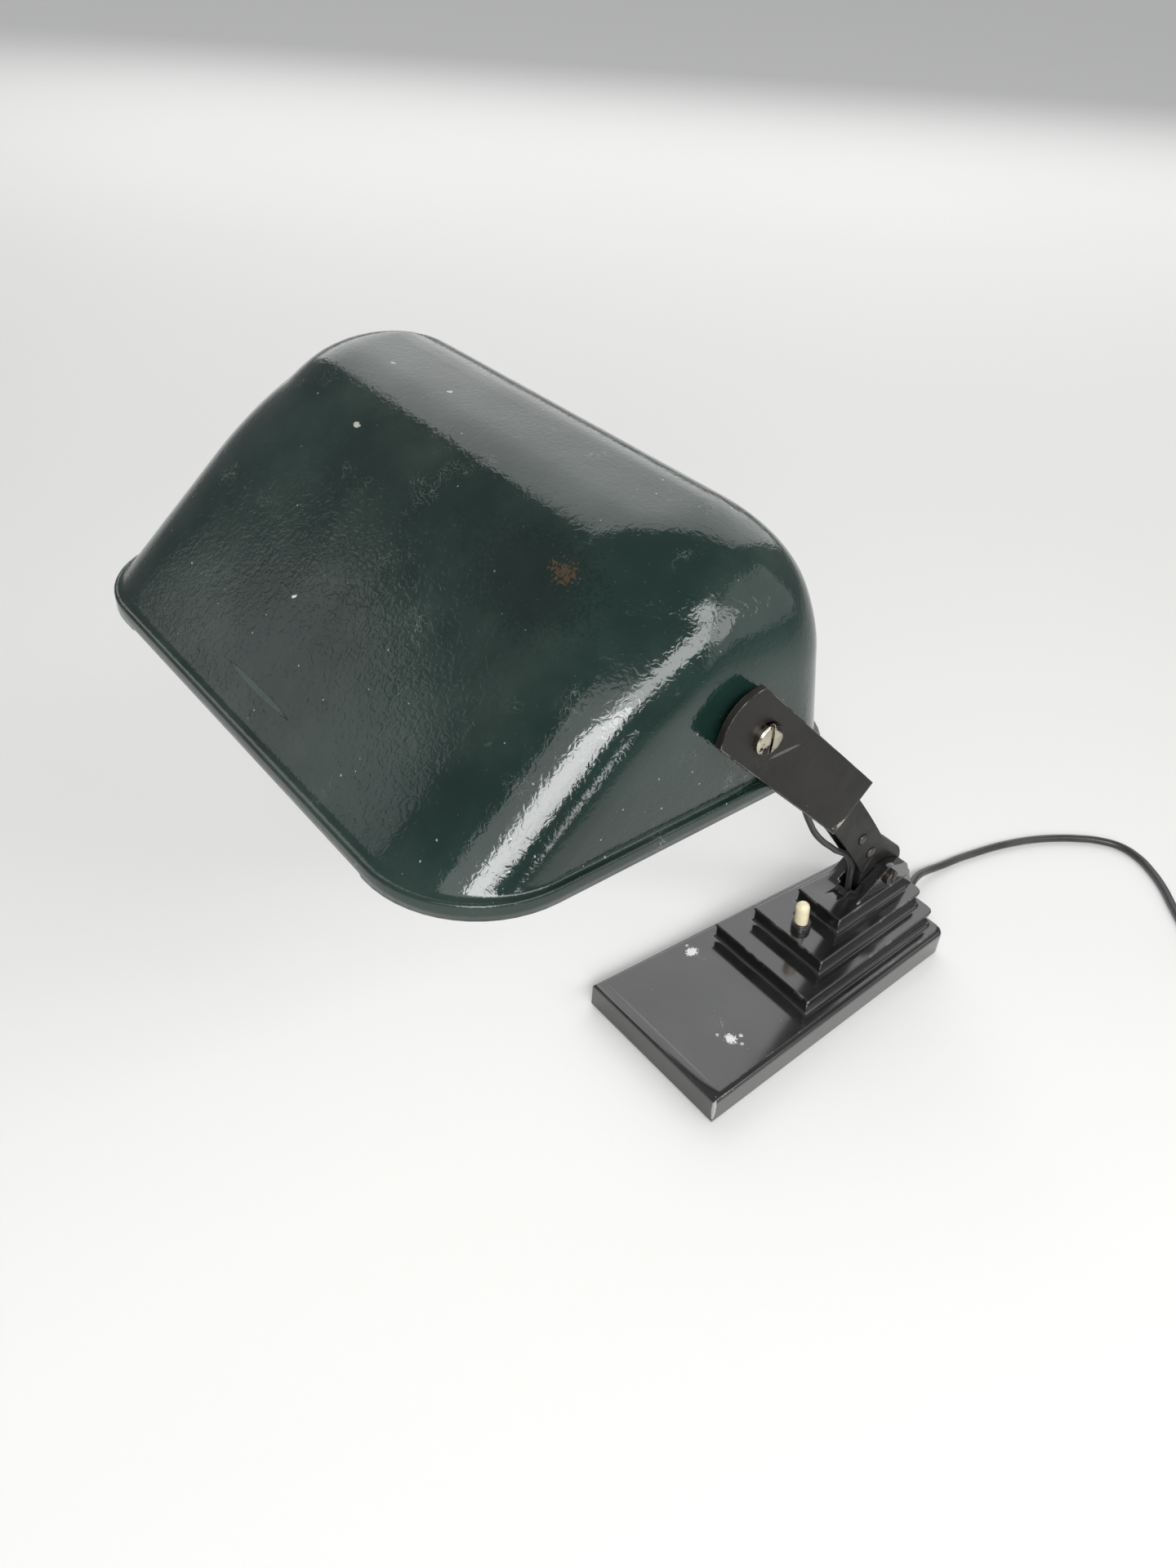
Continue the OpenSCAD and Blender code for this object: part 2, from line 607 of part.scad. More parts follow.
module tilt_plates() color("#e9e7df") at_tilt()
    translate([cap_x - sheet_t - tilt_plate_t / 2 - 0.02, 0, 0]) difference() {
        along_x(2 * plate_r, tilt_plate_t);
        along_x(tilt_d + 0.1, 20);
    }

module tilt_nuts() color("#9c978c") at_tilt() translate([cap_x - sheet_t - tilt_plate_t - 2.1, 0, 0])
    difference() {
    rotate([0, 90, 0]) cylinder(d = 9.2, h = 4, center = true, $fn = 6);
    along_x(tilt_d + 0.1, 20);
}

/* ---- lampholder ---- */
holder_y = tilt_y;
holder_z = tilt_z + bulb_up;
tab_x = -44;
tab_t = 1.6;
nipple_d = 10;
bracket_rivet_d = 3.6;
bracket_z = tilt_up + 8;
wall_tilt = 90 - atan2(ridge_at[1], mouth_back[0] - ridge_at[0]);
wall_in = tilt_y + back_y_at(bracket_z, profile(sheet_t), ridge_r - sheet_t);

// The bracket's foot lies on the inside of the leaning back wall
module on_back_wall() translate([0, wall_in - 0.05, flange_z + bracket_z]) rotate([wall_tilt, 0, 0])
    children();
module bracket_rivet_places() on_back_wall() for (x = [tab_x - 6, tab_x - 20]) translate([x, 0, 0])
    children();

module holder_bracket() color("#b9b5a8") difference() {
    union() {
        on_back_wall() translate([tab_x - 27, -tab_t, -8]) cube([27, tab_t, 16]);
        translate([tab_x - tab_t, holder_y - 9, holder_z - 9]) cube([tab_t, wall_in - holder_y + 8, 18]);
    }
    translate([0, holder_y, holder_z]) along_x(nipple_d + 0.2, big);
    bracket_rivet_places() along_y(bracket_rivet_d + 0.1, 20);
    // Trims the tab's corner along the wall
    on_back_wall() translate([-big / 2, 0, -big / 2]) cube(big);
}

module bracket_rivets() color("#1f3a34") bracket_rivet_places() {
    translate([0, -0.5, 0]) along_y(bracket_rivet_d, sheet_t + tab_t + 1.2);
    translate([0, sheet_t + 0.06, 0]) rotate([-90, 0, 0]) dome(6.4, 1.4);
}

module at_holder() translate([tab_x, holder_y, holder_z]) children();

module holder_nipple() color("#a58d4f") at_holder() difference() {
    translate([0.5, 0, 0]) along_x(nipple_d, 17);
    along_x(6, 60);
}

module holder_nuts() color("#a58d4f") at_holder() difference() {
    union() {
        translate([-tab_t - 1.25, 0, 0]) rotate([0, 90, 0])
            cylinder(d = 15, h = 2.4, center = true, $fn = 6);
        translate([1.25, 0, 0]) rotate([0, 90, 0]) cylinder(d = 15, h = 2.4, center = true, $fn = 6);
    }
    along_x(nipple_d + 0.1, 60);
}

cup_x = 2.6;
module holder_body() color("#ece9e0") at_holder() translate([cup_x, 0, 0]) rotate([0, 90, 0])
    rotate_extrude()
    polygon([[5.05, 0], [holder_d / 2 - 7, 0], [holder_d / 2 - 4, 2], [holder_d / 2 - 3, 8],
        [holder_d / 2, 12],
             [holder_d / 2, holder_len - 1], [holder_d / 2 - 1, holder_len], [14, holder_len],
                 [14, 16], [5.05, 16]]);

module holder_ring() color("#c9b36a") at_holder() translate([cup_x + 17, 0, 0]) rotate([0, 90, 0])
    difference() {
    cylinder(d = 27.8, h = holder_len - 18);
    translate([0, 0, -1]) cylinder(d = 27, h = 60);
}

module holder_contact() color("#c9b36a") at_holder() translate([cup_x + 16, 0, 0]) rotate([0, 90, 0])
    difference() {
    cylinder(d = 9, h = 3);
    translate([0, 0, -1]) cylinder(d = 3, h = 2);
}

module bulb_cap() color("#c9c9c4") at_holder() translate([cup_x + 19.1, 0, 0]) rotate([0, 90, 0])
    rotate_extrude()
    polygon([[0, 0], [5, 0], [6, 1.5], [12, 3], [13.2, 5], [13.2, 25], [12.2, 26], [0, 26]]);

module bulb_glass() color([0.96, 0.96, 0.93, 0.8]) at_holder() translate([cup_x + 19.1 + 26.02, 0, 0])
    rotate([0, 90, 0]) rotate_extrude() polygon(concat([[0, 0], [11.5, 0]],
        arc([bulb_d / 2 - 5, 9], 5, -40, 0, 3), [[bulb_d / 2, bulb_len - bulb_d / 2]],
        arc([0, bulb_len - bulb_d / 2], bulb_d / 2, 6, 90, 12)));

/* ---- flex ---- */
// A round tube along a list of points, closed at both ends
function ring3(p, t, ref, r, n) = let (u = unit(cross(t, ref)), v = cross(u, t))
    [for (i = [0:n - 1]) p + r * (u * cos(360 * i / n) + v * sin(360 * i / n))];
function heading(p, i) = unit(p[min(i + 1, len(p) - 1)] - p[max(i - 1, 0)]);
module tube(p, d, ref = [0, 0, 1], n = 8) {
    m = len(p);
    polyhedron(points = [for (i = [0:m - 1]) each ring3(p[i], heading(p, i), ref, d / 2, n)], convexity = 8,
        faces = concat([[for (i = [0:n - 1]) i], [for (i = [n - 1:-1:0]) (m - 1) * n + i]],
            [for (j = [0:m - 2], i = [0:n - 1]) let (a = j * n, k = (i + 1) % n)
                [a + i, a + n + i, a + n + k, a + k]]));
}
// A smooth curve through hand-picked points, each stretch cut into k
function curve(p, k) = [for (i = [0:len(p) - 2], j = [0:k - 1]) let (t = j / k, b = p[i], c = p[i + 1],
        a = i == 0 ? 2 * b - c : p[i - 1], d = i == len(p) - 2 ? 2 * c - b : p[i + 2])
    0.5 * (2 * b + (c - a) * t + (2 * a - 5 * b + 4 * c - d) * t * t
        + (3 * b - a - 3 * c + d) * t * t * t)];
function smooth(p, k) = concat(curve(p, k), [p[len(p) - 1]]);

flex_out = -3;
flex_gap = 1;
flex_from = 140;
flex_to = arm_len - 26;
module arm_flex() color("#141414") along_arm(flex_from, flex_to) translate([flex_out, 0])
    circle(d = flex_d);

// In y and z from the hinge axis: in front of the heel, then slack under the arm's open channel
hinge_slack = [
    [-20.8, 8], [-24.1, 15.5], [-28.9, 22.2], [-34.7, 27.2], [-40.1, 31.4], [-45.1, 36.3], [-53.9, 45],
    [-63, 56], [-69.1, 65.9], [-73.5, 73.7], [-78.2, 83.5], [-83.3, 94]
];
// The whole run, up from the hole in the base's slot to where the flex goes into the channel
hinge_loop = [for (q = concat(
    [[flex_hole_y, slot_floor - slot_roof + 1], [flex_hole_y, slot_floor + 5],
     [flex_hole_y - 0.8, slot_floor + 12], [flex_hole_y - 1.4, slot_floor + 19]],
    [for (p = hinge_slack) [hinge_y, hinge_z] + p],
    [arm_at(flex_from - flex_gap, flex_out)])) [0, q[0], q[1]]];
module hinge_flex() color("#141414") tube(smooth(hinge_loop, 3), flex_d, [1, 0, 0]);

head_start = arm_at(flex_to + 2 * flex_gap, flex_out);
// From the end of the arm: the slack that hangs below the yoke and rises to the lampholder
head_slack = [
    [0, 8.3, -24.2], [-2, -2.7, -27.7], [-5, -12.7, -24.7], [-9, -19.7, -15.2], [-15, -23.2, -1.2],
    [-24, -25.7, 14.8], [-34, -28.7, 29.8], [-47, -32.7, 41.8]
];
head_loop = concat(
    [[0, head_start[0], head_start[1]]],
    [for (p = head_slack) [p[0], arm_end[0] + p[1], arm_end[1] + p[2]]],
    [[tab_x - 16, holder_y + 7, holder_z - 7], [tab_x - 20, holder_y + 2, holder_z - 1.5],
     [tab_x - 15, holder_y, holder_z], [tab_x - 8.1, holder_y, holder_z]]);
module head_flex() color("#141414") tube(smooth(head_loop, 3), flex_d, unit([0.5, 0.3, 0.2]));

module flex_clip() color("#38342f") along_arm(flex_from + 6, flex_from + 12) difference() {
    translate([flex_out / 2 - arm_depth / 4 + 0.4, 0])
        square([arm_depth / 2 + flex_out + 1, arm_w - 2 * arm_wall - 0.04], center = true);
    translate([flex_out, 0]) circle(d = flex_d + 0.1);
}

module slot_grommet() color("#161616") translate([0, flex_hole_y, slot_floor]) difference() {
    translate([0, 0, -slot_roof]) cylinder(d = flex_hole_d - 0.06, h = slot_roof + 1.4);
    translate([0, 0, -slot_roof - 1]) cylinder(d = flex_d + 0.1, h = 20);
}

/* ---- mains cord ---- */
coil_at = [165, 262];
coil_r = 28;
coil_layers = 3;
relief_len = 16;
cord_route = [[0, 95, 9], [0, 106, 9], [0, 116, 9], [-2.4, 122, 8.9], [-4.8, 128, 8.5],
    [-6.9, 136, 7.2], [-7.6, 145, 5.2],
    [-7.1, 154, 3.7], [-6, 164, 2.8], [-4.6, 175, 2.5], [-1.3, 190, 2.5], [2.4, 205, 2.5], [7.4, 220, 2.5],
    [13.4, 234, 2.5], [21, 247.3, 2.5], [30.3, 260, 2.5], [41, 271, 2.5], [53, 277.5, 2.5],
        [66, 277.5, 2.5],
    [80, 272.2, 2.5], [93.4, 264.2, 2.5], [106.2, 254, 2.5], [119, 244, 2.5], [132, 236, 2.5],
        [146, 229, 2.5]];
module cord_relief() color("#1a1a1b") translate([0, back_y, cord_hole_z]) rotate([-90, 0, 0]) difference() {
    union() {
        translate([0, 0, -8]) cylinder(d = cord_hole_d - 0.1, h = 9);
        translate([0, 0, 0.02]) cylinder(d = cord_hole_d + 2.4, h = 1.6);
        cylinder(d1 = cord_hole_d - 0.2, d2 = cord_d + 1.4, h = relief_len);
    }
    translate([0, 0, -10]) cylinder(d = cord_d + 0.1, h = 60);
}
module mains_cord() color("#1b1a19") tube(smooth(cord_route, 3), cord_d);
module cord_coil() color("#1b1a19") translate([coil_at[0], coil_at[1], 0]) rotate_extrude($fn = 64)
    translate([coil_r - 1.5 * cord_d, 0]) square([3 * cord_d, coil_layers * cord_d]);
module cord_tie() color("#101010") translate([coil_at[0] + coil_r, coil_at[1],
    coil_layers * cord_d / 2]) difference() {
    cube([3 * cord_d + 2, 6, coil_layers * cord_d + 0.8], center = true);
    translate([-0.2, 0, 0]) cube([3 * cord_d + 0.44, 10, coil_layers * cord_d + 0.02], center = true);
}
tail_route = [[186.9, 230.8, 2.5], [196, 236.5, 2.5], [204, 241.5, 2.6], [211, 246.5, 3.6], [217, 252, 5.4],
    [221, 259, 6.7], [222.6, 266, 7], [223, 273, 7]];
module cord_tail() color("#1b1a19") tube(smooth(tail_route, 3), cord_d);
plug_at = [223, 273, 7];
module plug_body() color("#161616") translate(plug_at) hull() {
    translate([0, 1, 0]) cube([10, 2, 9], center = true);
    translate([0, 14, 0]) cube([30, 2, 13.6], center = true);
    translate([0, 35, 0]) cube([34, 2, 13.6], center = true);
}
module plug_pins() color("#c8c8c2") for (x = [-9.5, 9.5]) translate(plug_at + [x, 36.02, 0])
    rotate([-90, 0, 0]) {
    cylinder(d = 4, h = 18);
    translate([0, 0, 18]) intersection() { sphere(d = 4); cylinder(d = 6, h = 4); }
}

base_casting();
base_plate();
base_plate_screws();
felt_pad();
switch_body();
switch_collar();
switch_nut();
switch_button();
switch_spring();
terminal_block();
hinge_screw();
hinge_washers();
hinge_nut();
hinge_bush();
arm_channel();
arm_knuckle();
arm_rivets();
arm_foot();
foot_screws();
foot_nuts();
flex_clip();
arm_flex();
hinge_flex();
head_flex();
slot_grommet();
yoke_strap();
tilt_screws();
tilt_washers();
tilt_nuts();
tilt_plates();
shade_shell();
holder_bracket();
bracket_rivets();
holder_nipple();
holder_nuts();
holder_body();
holder_ring();
holder_contact();
bulb_cap();
bulb_glass();
cord_relief();
mains_cord();
cord_coil();
cord_tie();
cord_tail();
plug_body();
plug_pins();
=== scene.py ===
"""Dresses the desk lamp: a pressed green shade in a strip yoke on a curved channel arm and a stepped cast base.

Sizes are in millimetres in the classes of the lamp's parts, and become metres where a mesh is made. Sizes inside a
material, such as the depth of its relief and the radius of its worn edges, are in metres. The front is -Y, and +Z is
up.
"""

from __future__ import annotations

import logging
import math
from dataclasses import dataclass
from enum import Enum
from typing import Any, Callable, Mapping, Sequence

import bmesh
import bpy
from mathutils import Matrix, Quaternion, Vector

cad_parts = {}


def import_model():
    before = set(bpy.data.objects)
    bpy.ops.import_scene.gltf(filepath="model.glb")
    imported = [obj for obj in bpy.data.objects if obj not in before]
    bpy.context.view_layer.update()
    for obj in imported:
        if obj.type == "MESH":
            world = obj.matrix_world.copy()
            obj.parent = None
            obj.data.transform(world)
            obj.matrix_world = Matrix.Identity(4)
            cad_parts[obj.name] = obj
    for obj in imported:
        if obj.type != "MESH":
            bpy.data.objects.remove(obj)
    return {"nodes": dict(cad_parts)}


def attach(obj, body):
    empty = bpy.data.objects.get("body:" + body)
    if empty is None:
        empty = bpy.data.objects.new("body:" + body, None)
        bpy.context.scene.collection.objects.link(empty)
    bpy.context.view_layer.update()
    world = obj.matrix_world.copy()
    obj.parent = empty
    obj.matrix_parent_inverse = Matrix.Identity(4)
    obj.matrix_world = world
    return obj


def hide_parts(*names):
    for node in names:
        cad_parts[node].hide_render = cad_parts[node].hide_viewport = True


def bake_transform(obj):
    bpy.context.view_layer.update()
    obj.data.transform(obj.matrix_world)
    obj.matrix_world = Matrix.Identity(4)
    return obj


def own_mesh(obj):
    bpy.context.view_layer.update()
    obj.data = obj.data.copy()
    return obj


LOG = logging.getLogger("lamp")
# Metres in a millimetre.
MM = 0.001
# Vertices nearer than this, in millimetres, are merged.
MERGE = 0.001
Socket = bpy.types.NodeSocket
Pair = tuple[float, float]
Point = tuple[float, float, float]
Colour = tuple[float, float, float]
Profile = Sequence[Pair]


def rgba(colour: Colour) -> tuple[float, float, float, float]:
    """Returns a colour with full alpha."""
    return (*colour, 1.0)


def metres(point: Point) -> Point:
    """Returns a place or a size in metres."""
    return tuple(c * MM for c in point)


# ---------------------------------------------------------------- node graphs


class Graph:
    """Short calls for filling one node tree."""

    def __init__(self, tree: bpy.types.NodeTree) -> None:
        """Keeps the tree that the calls fill."""
        self.tree = tree

    def add(self, kind: str, sockets: Mapping[str | int, Any] | None = None, **settings: Any) -> bpy.types.Node:
        """Adds a node.

        Args:
            kind: The node's type name.
            sockets: A value or another node's socket for each named or numbered input.
            settings: The node's own settings.

        Returns:
            The new node.
        """
        node = self.tree.nodes.new(kind)
        for key, value in settings.items():
            setattr(node, key, value)
        for key, value in (sockets or {}).items():
            if isinstance(value, Socket):
                self.tree.links.new(value, node.inputs[key])
            else:
                node.inputs[key].default_value = value
        return node

    def effect(self, group: bpy.types.NodeTree, **sockets: Any) -> bpy.types.Node:
        """Places a shared effect.

        Args:
            group: The effect's node group.
            sockets: A value or a socket for each input, with an underscore for each space in the input's name.

        Returns:
            The new node.
        """
        named = {key.replace("_", " "): value for key, value in sockets.items()}
        return self.add("ShaderNodeGroup", named, node_tree=group)

    def math(self, operation: str, a: Any, b: Any = 0.0, clamp: bool = False) -> Socket:
        """Returns the result of a Math node."""
        return self.add("ShaderNodeMath", {0: a, 1: b}, operation=operation, use_clamp=clamp).outputs[0]

    def times(self, a: Any, b: Any, clamp: bool = False) -> Socket:
        """Returns a times b."""
        return self.math("MULTIPLY", a, b, clamp)

    def plus(self, a: Any, b: Any, clamp: bool = False) -> Socket:
        """Returns a plus b."""
        return self.math("ADD", a, b, clamp)

    def minus(self, a: Any, b: Any) -> Socket:
        """Returns a minus b."""
        return self.math("SUBTRACT", a, b)

    def vector(self, operation: str, a: Any, b: Any = (0.0, 0.0, 0.0)) -> bpy.types.Node:
        """Returns a Vector Math node of two vectors."""
        return self.add("ShaderNodeVectorMath", {0: a, 1: b}, operation=operation)

    def mix(self, factor: Any, a: Socket | Colour, b: Socket | Colour) -> Socket:
        """Returns a colour between a and b."""
        first, last = (side if isinstance(side, Socket) else rgba(side) for side in (a, b))
        return self.add("ShaderNodeMix", {0: factor, 6: first, 7: last}, data_type="RGBA").outputs[2]

    def span(self, value: Any, low: Any, high: Any, to_low: float = 0.0, to_high: float = 1.0) -> Socket:
        """Returns value eased from low..high into to_low..to_high."""
        sockets = {"Value": value, "From Min": low, "From Max": high, "To Min": to_low, "To Max": to_high}
        return self.add("ShaderNodeMapRange", sockets, interpolation_type="SMOOTHSTEP", clamp=True).outputs[0]

    def noise(self, vector: Socket, scale: Any, detail: float = 3.0, rough: float = 0.5, twist: float = 0.0) -> Socket:
        """Returns the height of a noise texture."""
        sockets = {"Vector": vector, "Scale": scale, "Detail": detail, "Roughness": rough, "Distortion": twist}
        return self.add("ShaderNodeTexNoise", sockets).outputs[0]

    def bump(self, height: Socket, normal: Socket | None = None) -> Socket:
        """Lays a relief over a surface.

        Args:
            height: Its height in metres.
            normal: The normal that it is laid over, or None for the surface's own.

        Returns:
            The normal of the relief.
        """
        sockets = {"Height": height, "Distance": 1.0, "Strength": 1.0}
        if normal is not None:
            sockets["Normal"] = normal
        return self.add("ShaderNodeBump", sockets).outputs[0]


def node_group(name: str, inputs: Sequence[tuple[str, str, Any]], outputs: Sequence[tuple[str, str]],
               fill: Callable[[Graph, Mapping[str, Socket]], Sequence[Socket]]) -> bpy.types.NodeTree:
    """Builds one shared effect.

    Args:
        name: The group's name.
        inputs: Name, kind (Float or Vector) and first value of each input.
        outputs: Name and kind of each output.
        fill: Adds the nodes and gives the sockets for the outputs, in their order.

    Returns:
        The node group.
    """
    tree = bpy.data.node_groups.new(name, "ShaderNodeTree")
    for label, kind, value in inputs:
        tree.interface.new_socket(name=label, in_out="INPUT", socket_type=f"NodeSocket{kind}").default_value = value
    for label, kind in outputs:
        tree.interface.new_socket(name=label, in_out="OUTPUT", socket_type=f"NodeSocket{kind}")
    graph = Graph(tree)
    entry = graph.add("NodeGroupInput")
    leave = graph.add("NodeGroupOutput")
    for socket, target in zip(fill(graph, {s.name: s for s in entry.outputs if s.name}), leave.inputs):
        tree.links.new(socket, target)
    return tree


class Effects:
    """The shared surface effects, each a node group built once."""

    def __init__(self) -> None:
        """Builds every group."""
        place = ("Vector", "Vector", (0.0, 0.0, 0.0))
        mask = [("Mask", "Float")]
        self.edges = node_group(
            "Worn edges", [place, ("Radius", "Float", 0.0006), ("Patch Scale", "Float", 60.0),
                           ("Amount", "Float", 0.3)], [*mask, ("Normal", "Vector")], self._edges)
        self.chips = node_group(
            "Chips", [place, ("Scale", "Float", 150.0), ("Size", "Float", 0.2), ("Share", "Float", 0.05)], mask,
            self._chips)
        self.scratches = node_group(
            "Scratches", [place, ("Scale", "Float", 30.0), ("Share", "Float", 0.3)], mask, self._scratches)
        self.peel = node_group(
            "Orange peel", [place, ("Scale", "Float", 260.0), ("Depth", "Float", 0.00004),
                            ("Wave Scale", "Float", 25.0), ("Wave Depth", "Float", 0.0003)],
            [("Height", "Float")], self._peel)
        self.dust = node_group(
            "Dust", [place, ("Scale", "Float", 700.0), ("Amount", "Float", 0.2)], mask, self._dust)
        self.mark = node_group(
            "Mark", [place, ("Centre", "Vector", (0.0, 0.0, 0.0)), ("Reach", "Vector", (0.002, 0.002, 0.002)),
                     ("Ragged", "Float", 0.4)], mask, self._mark)

    @staticmethod
    def _edges(g: Graph, i: Mapping[str, Socket]) -> Sequence[Socket]:
        """Finds edges from the difference between a rounded normal and the true one.

        Args:
            g: The group's graph.
            i: The group's inputs by name.

        Returns:
            The mask of the worn edges and the rounded normal.
        """
        rounded = g.add("ShaderNodeBevel", {"Radius": i["Radius"]}, samples=6).outputs[0]
        true = g.add("ShaderNodeNewGeometry").outputs["Normal"]
        turn = g.minus(1.0, g.vector("DOT_PRODUCT", rounded, true).outputs["Value"])
        patch = g.noise(i["Vector"], i["Patch Scale"], 4.0, 0.65)
        worn_from = g.times(g.minus(1.0, i["Amount"]), 0.7)
        return g.times(g.span(turn, 0.02, 0.12), g.span(patch, worn_from, g.plus(worn_from, 0.12))), rounded

    @staticmethod
    def _chips(g: Graph, i: Mapping[str, Socket]) -> Sequence[Socket]:
        """Scatters ragged spots, only in a share of the cells.

        Args:
            g: The group's graph.
            i: The group's inputs by name.

        Returns:
            The mask of the spots.
        """
        wobble = g.add("ShaderNodeTexNoise", {"Vector": i["Vector"], "Scale": g.times(i["Scale"], 3.0),
                                              "Detail": 3.0}).outputs["Color"]
        shift = g.add("ShaderNodeVectorMath", {0: wobble, "Scale": g.math("DIVIDE", 0.35, i["Scale"])},
                      operation="SCALE")
        moved = g.vector("ADD", i["Vector"], shift.outputs[0]).outputs[0]
        cells = g.add("ShaderNodeTexVoronoi", {"Vector": moved, "Scale": i["Scale"]})
        parts = g.add("ShaderNodeSeparateColor", {0: cells.outputs["Color"]})
        size = g.times(i["Size"], parts.outputs[1])
        spot = g.span(cells.outputs["Distance"], size, g.times(size, 0.75))
        return (g.times(spot, g.math("LESS_THAN", parts.outputs[0], i["Share"])),)

    @staticmethod
    def _scratches(g: Graph, i: Mapping[str, Socket]) -> Sequence[Socket]:
        """Draws fine lines along two slanting directions, in patches.

        Args:
            g: The group's graph.
            i: The group's inputs by name.

        Returns:
            The mask of the lines.
        """
        lines = []
        for angle, seed in ((0.6, 0.0), (2.1, 7.3)):
            turned = g.add("ShaderNodeVectorRotate", {"Vector": i["Vector"], "Axis": (0.4, 0.3, 0.87),
                                                      "Angle": angle}, rotation_type="AXIS_ANGLE").outputs[0]
            thin = g.add("ShaderNodeMapping", {"Vector": turned, "Location": (seed, seed, seed),
                                               "Scale": (0.06, 1.0, 1.0)}).outputs[0]
            wave = g.noise(thin, g.times(i["Scale"], 9.0), 2.0, 0.4)
            lines.append(g.span(g.math("ABSOLUTE", g.minus(wave, 0.5)), 0.012, 0.002))
        more = g.times(i["Share"], 0.5)
        patch = g.span(g.noise(i["Vector"], i["Scale"], 2.0), g.minus(0.8, more), g.minus(0.95, more))
        return (g.times(g.math("MAXIMUM", *lines), patch),)

    @staticmethod
    def _peel(g: Graph, i: Mapping[str, Socket]) -> Sequence[Socket]:
        """Adds the fine peel of sprayed paint to slow waves in the sheet.

        Args:
            g: The group's graph.
            i: The group's inputs by name.

        Returns:
            The height in metres.
        """
        fine = g.noise(i["Vector"], i["Scale"], 2.0, 0.45, 1.2)
        slow = g.noise(i["Vector"], i["Wave Scale"], 1.0, 0.4)
        return (g.plus(g.times(fine, i["Depth"]), g.times(slow, i["Wave Depth"])),)

    @staticmethod
    def _dust(g: Graph, i: Mapping[str, Socket]) -> Sequence[Socket]:
        """Puts fine specks and a thin film on what faces up.

        Args:
            g: The group's graph.
            i: The group's inputs by name.

        Returns:
            The mask of the dust.
        """
        facing = g.add("ShaderNodeSeparateXYZ", {0: g.add("ShaderNodeNewGeometry").outputs["Normal"]}).outputs[2]
        film = g.span(g.noise(i["Vector"], g.times(i["Scale"], 0.04), 5.0, 0.6), 0.35, 0.75, 0.0, 0.5)
        cells = g.add("ShaderNodeTexVoronoi", {"Vector": i["Vector"], "Scale": i["Scale"]})
        few = g.math("LESS_THAN", g.add("ShaderNodeSeparateColor", {0: cells.outputs["Color"]}).outputs[0], 0.12)
        speck = g.times(g.span(cells.outputs["Distance"], 0.22, 0.12), few)
        both = g.times(g.math("MAXIMUM", film, speck), g.span(facing, 0.2, 0.95))
        return (g.times(both, i["Amount"], clamp=True),)

    @staticmethod
    def _mark(g: Graph, i: Mapping[str, Socket]) -> Sequence[Socket]:
        """Makes one ragged oval mark at a place.

        Args:
            g: The group's graph.
            i: The group's inputs by name.

        Returns:
            The mask of the mark.
        """
        out = g.vector("DIVIDE", g.vector("SUBTRACT", i["Vector"], i["Centre"]).outputs[0], i["Reach"]).outputs[0]
        length = g.vector("LENGTH", out).outputs["Value"]
        rag = g.times(g.minus(g.noise(i["Vector"], 900.0, 4.0, 0.6), 0.5), i["Ragged"])
        return (g.span(g.plus(length, g.times(rag, 2.0)), 1.05, 0.85),)


# ------------------------------------------------------------------ finishes

DUST_COLOUR = (0.36, 0.35, 0.32)
SPECK_SCALE = 560.0
SCRATCH_SCALE = 45.0


@dataclass(frozen=True)
class Mark:
    """One placed mark in millimetres: its centre, reach, colour, roughness, raggedness, depth and how much shows."""

    centre: Point
    reach: Point
    colour: Colour
    rough: float = 0.5
    ragged: float = 0.4
    depth: float = 0.0
    share: float = 1.0


@dataclass(frozen=True)
class Finish:
    """The common part of every finish."""

    name: str
    colour: Colour

    def build(self, effects: Effects) -> bpy.types.Material:
        """Builds the material round one Principled shader.

        Args:
            effects: The shared effects.

        Returns:
            The material.
        """
        material = bpy.data.materials.new(self.name)
        material.use_nodes = True
        material.node_tree.nodes.clear()
        material.diffuse_color = rgba(self.colour)
        g = Graph(material.node_tree)
        place = g.add("ShaderNodeTexCoord").outputs["Object"]
        shader = g.add("ShaderNodeBsdfPrincipled", self.sockets(g, place, effects))
        g.add("ShaderNodeOutputMaterial", {"Surface": shader.outputs[0]})
        return material

    def sockets(self, g: Graph, place: Socket, effects: Effects) -> dict[str, Any]:
        """Works out the shader's inputs; each finish has its own.

        Args:
            g: The material's graph.
            place: The object coordinates.
            effects: The shared effects.

        Returns:
            A value or a socket for each named input.
        """
        raise NotImplementedError


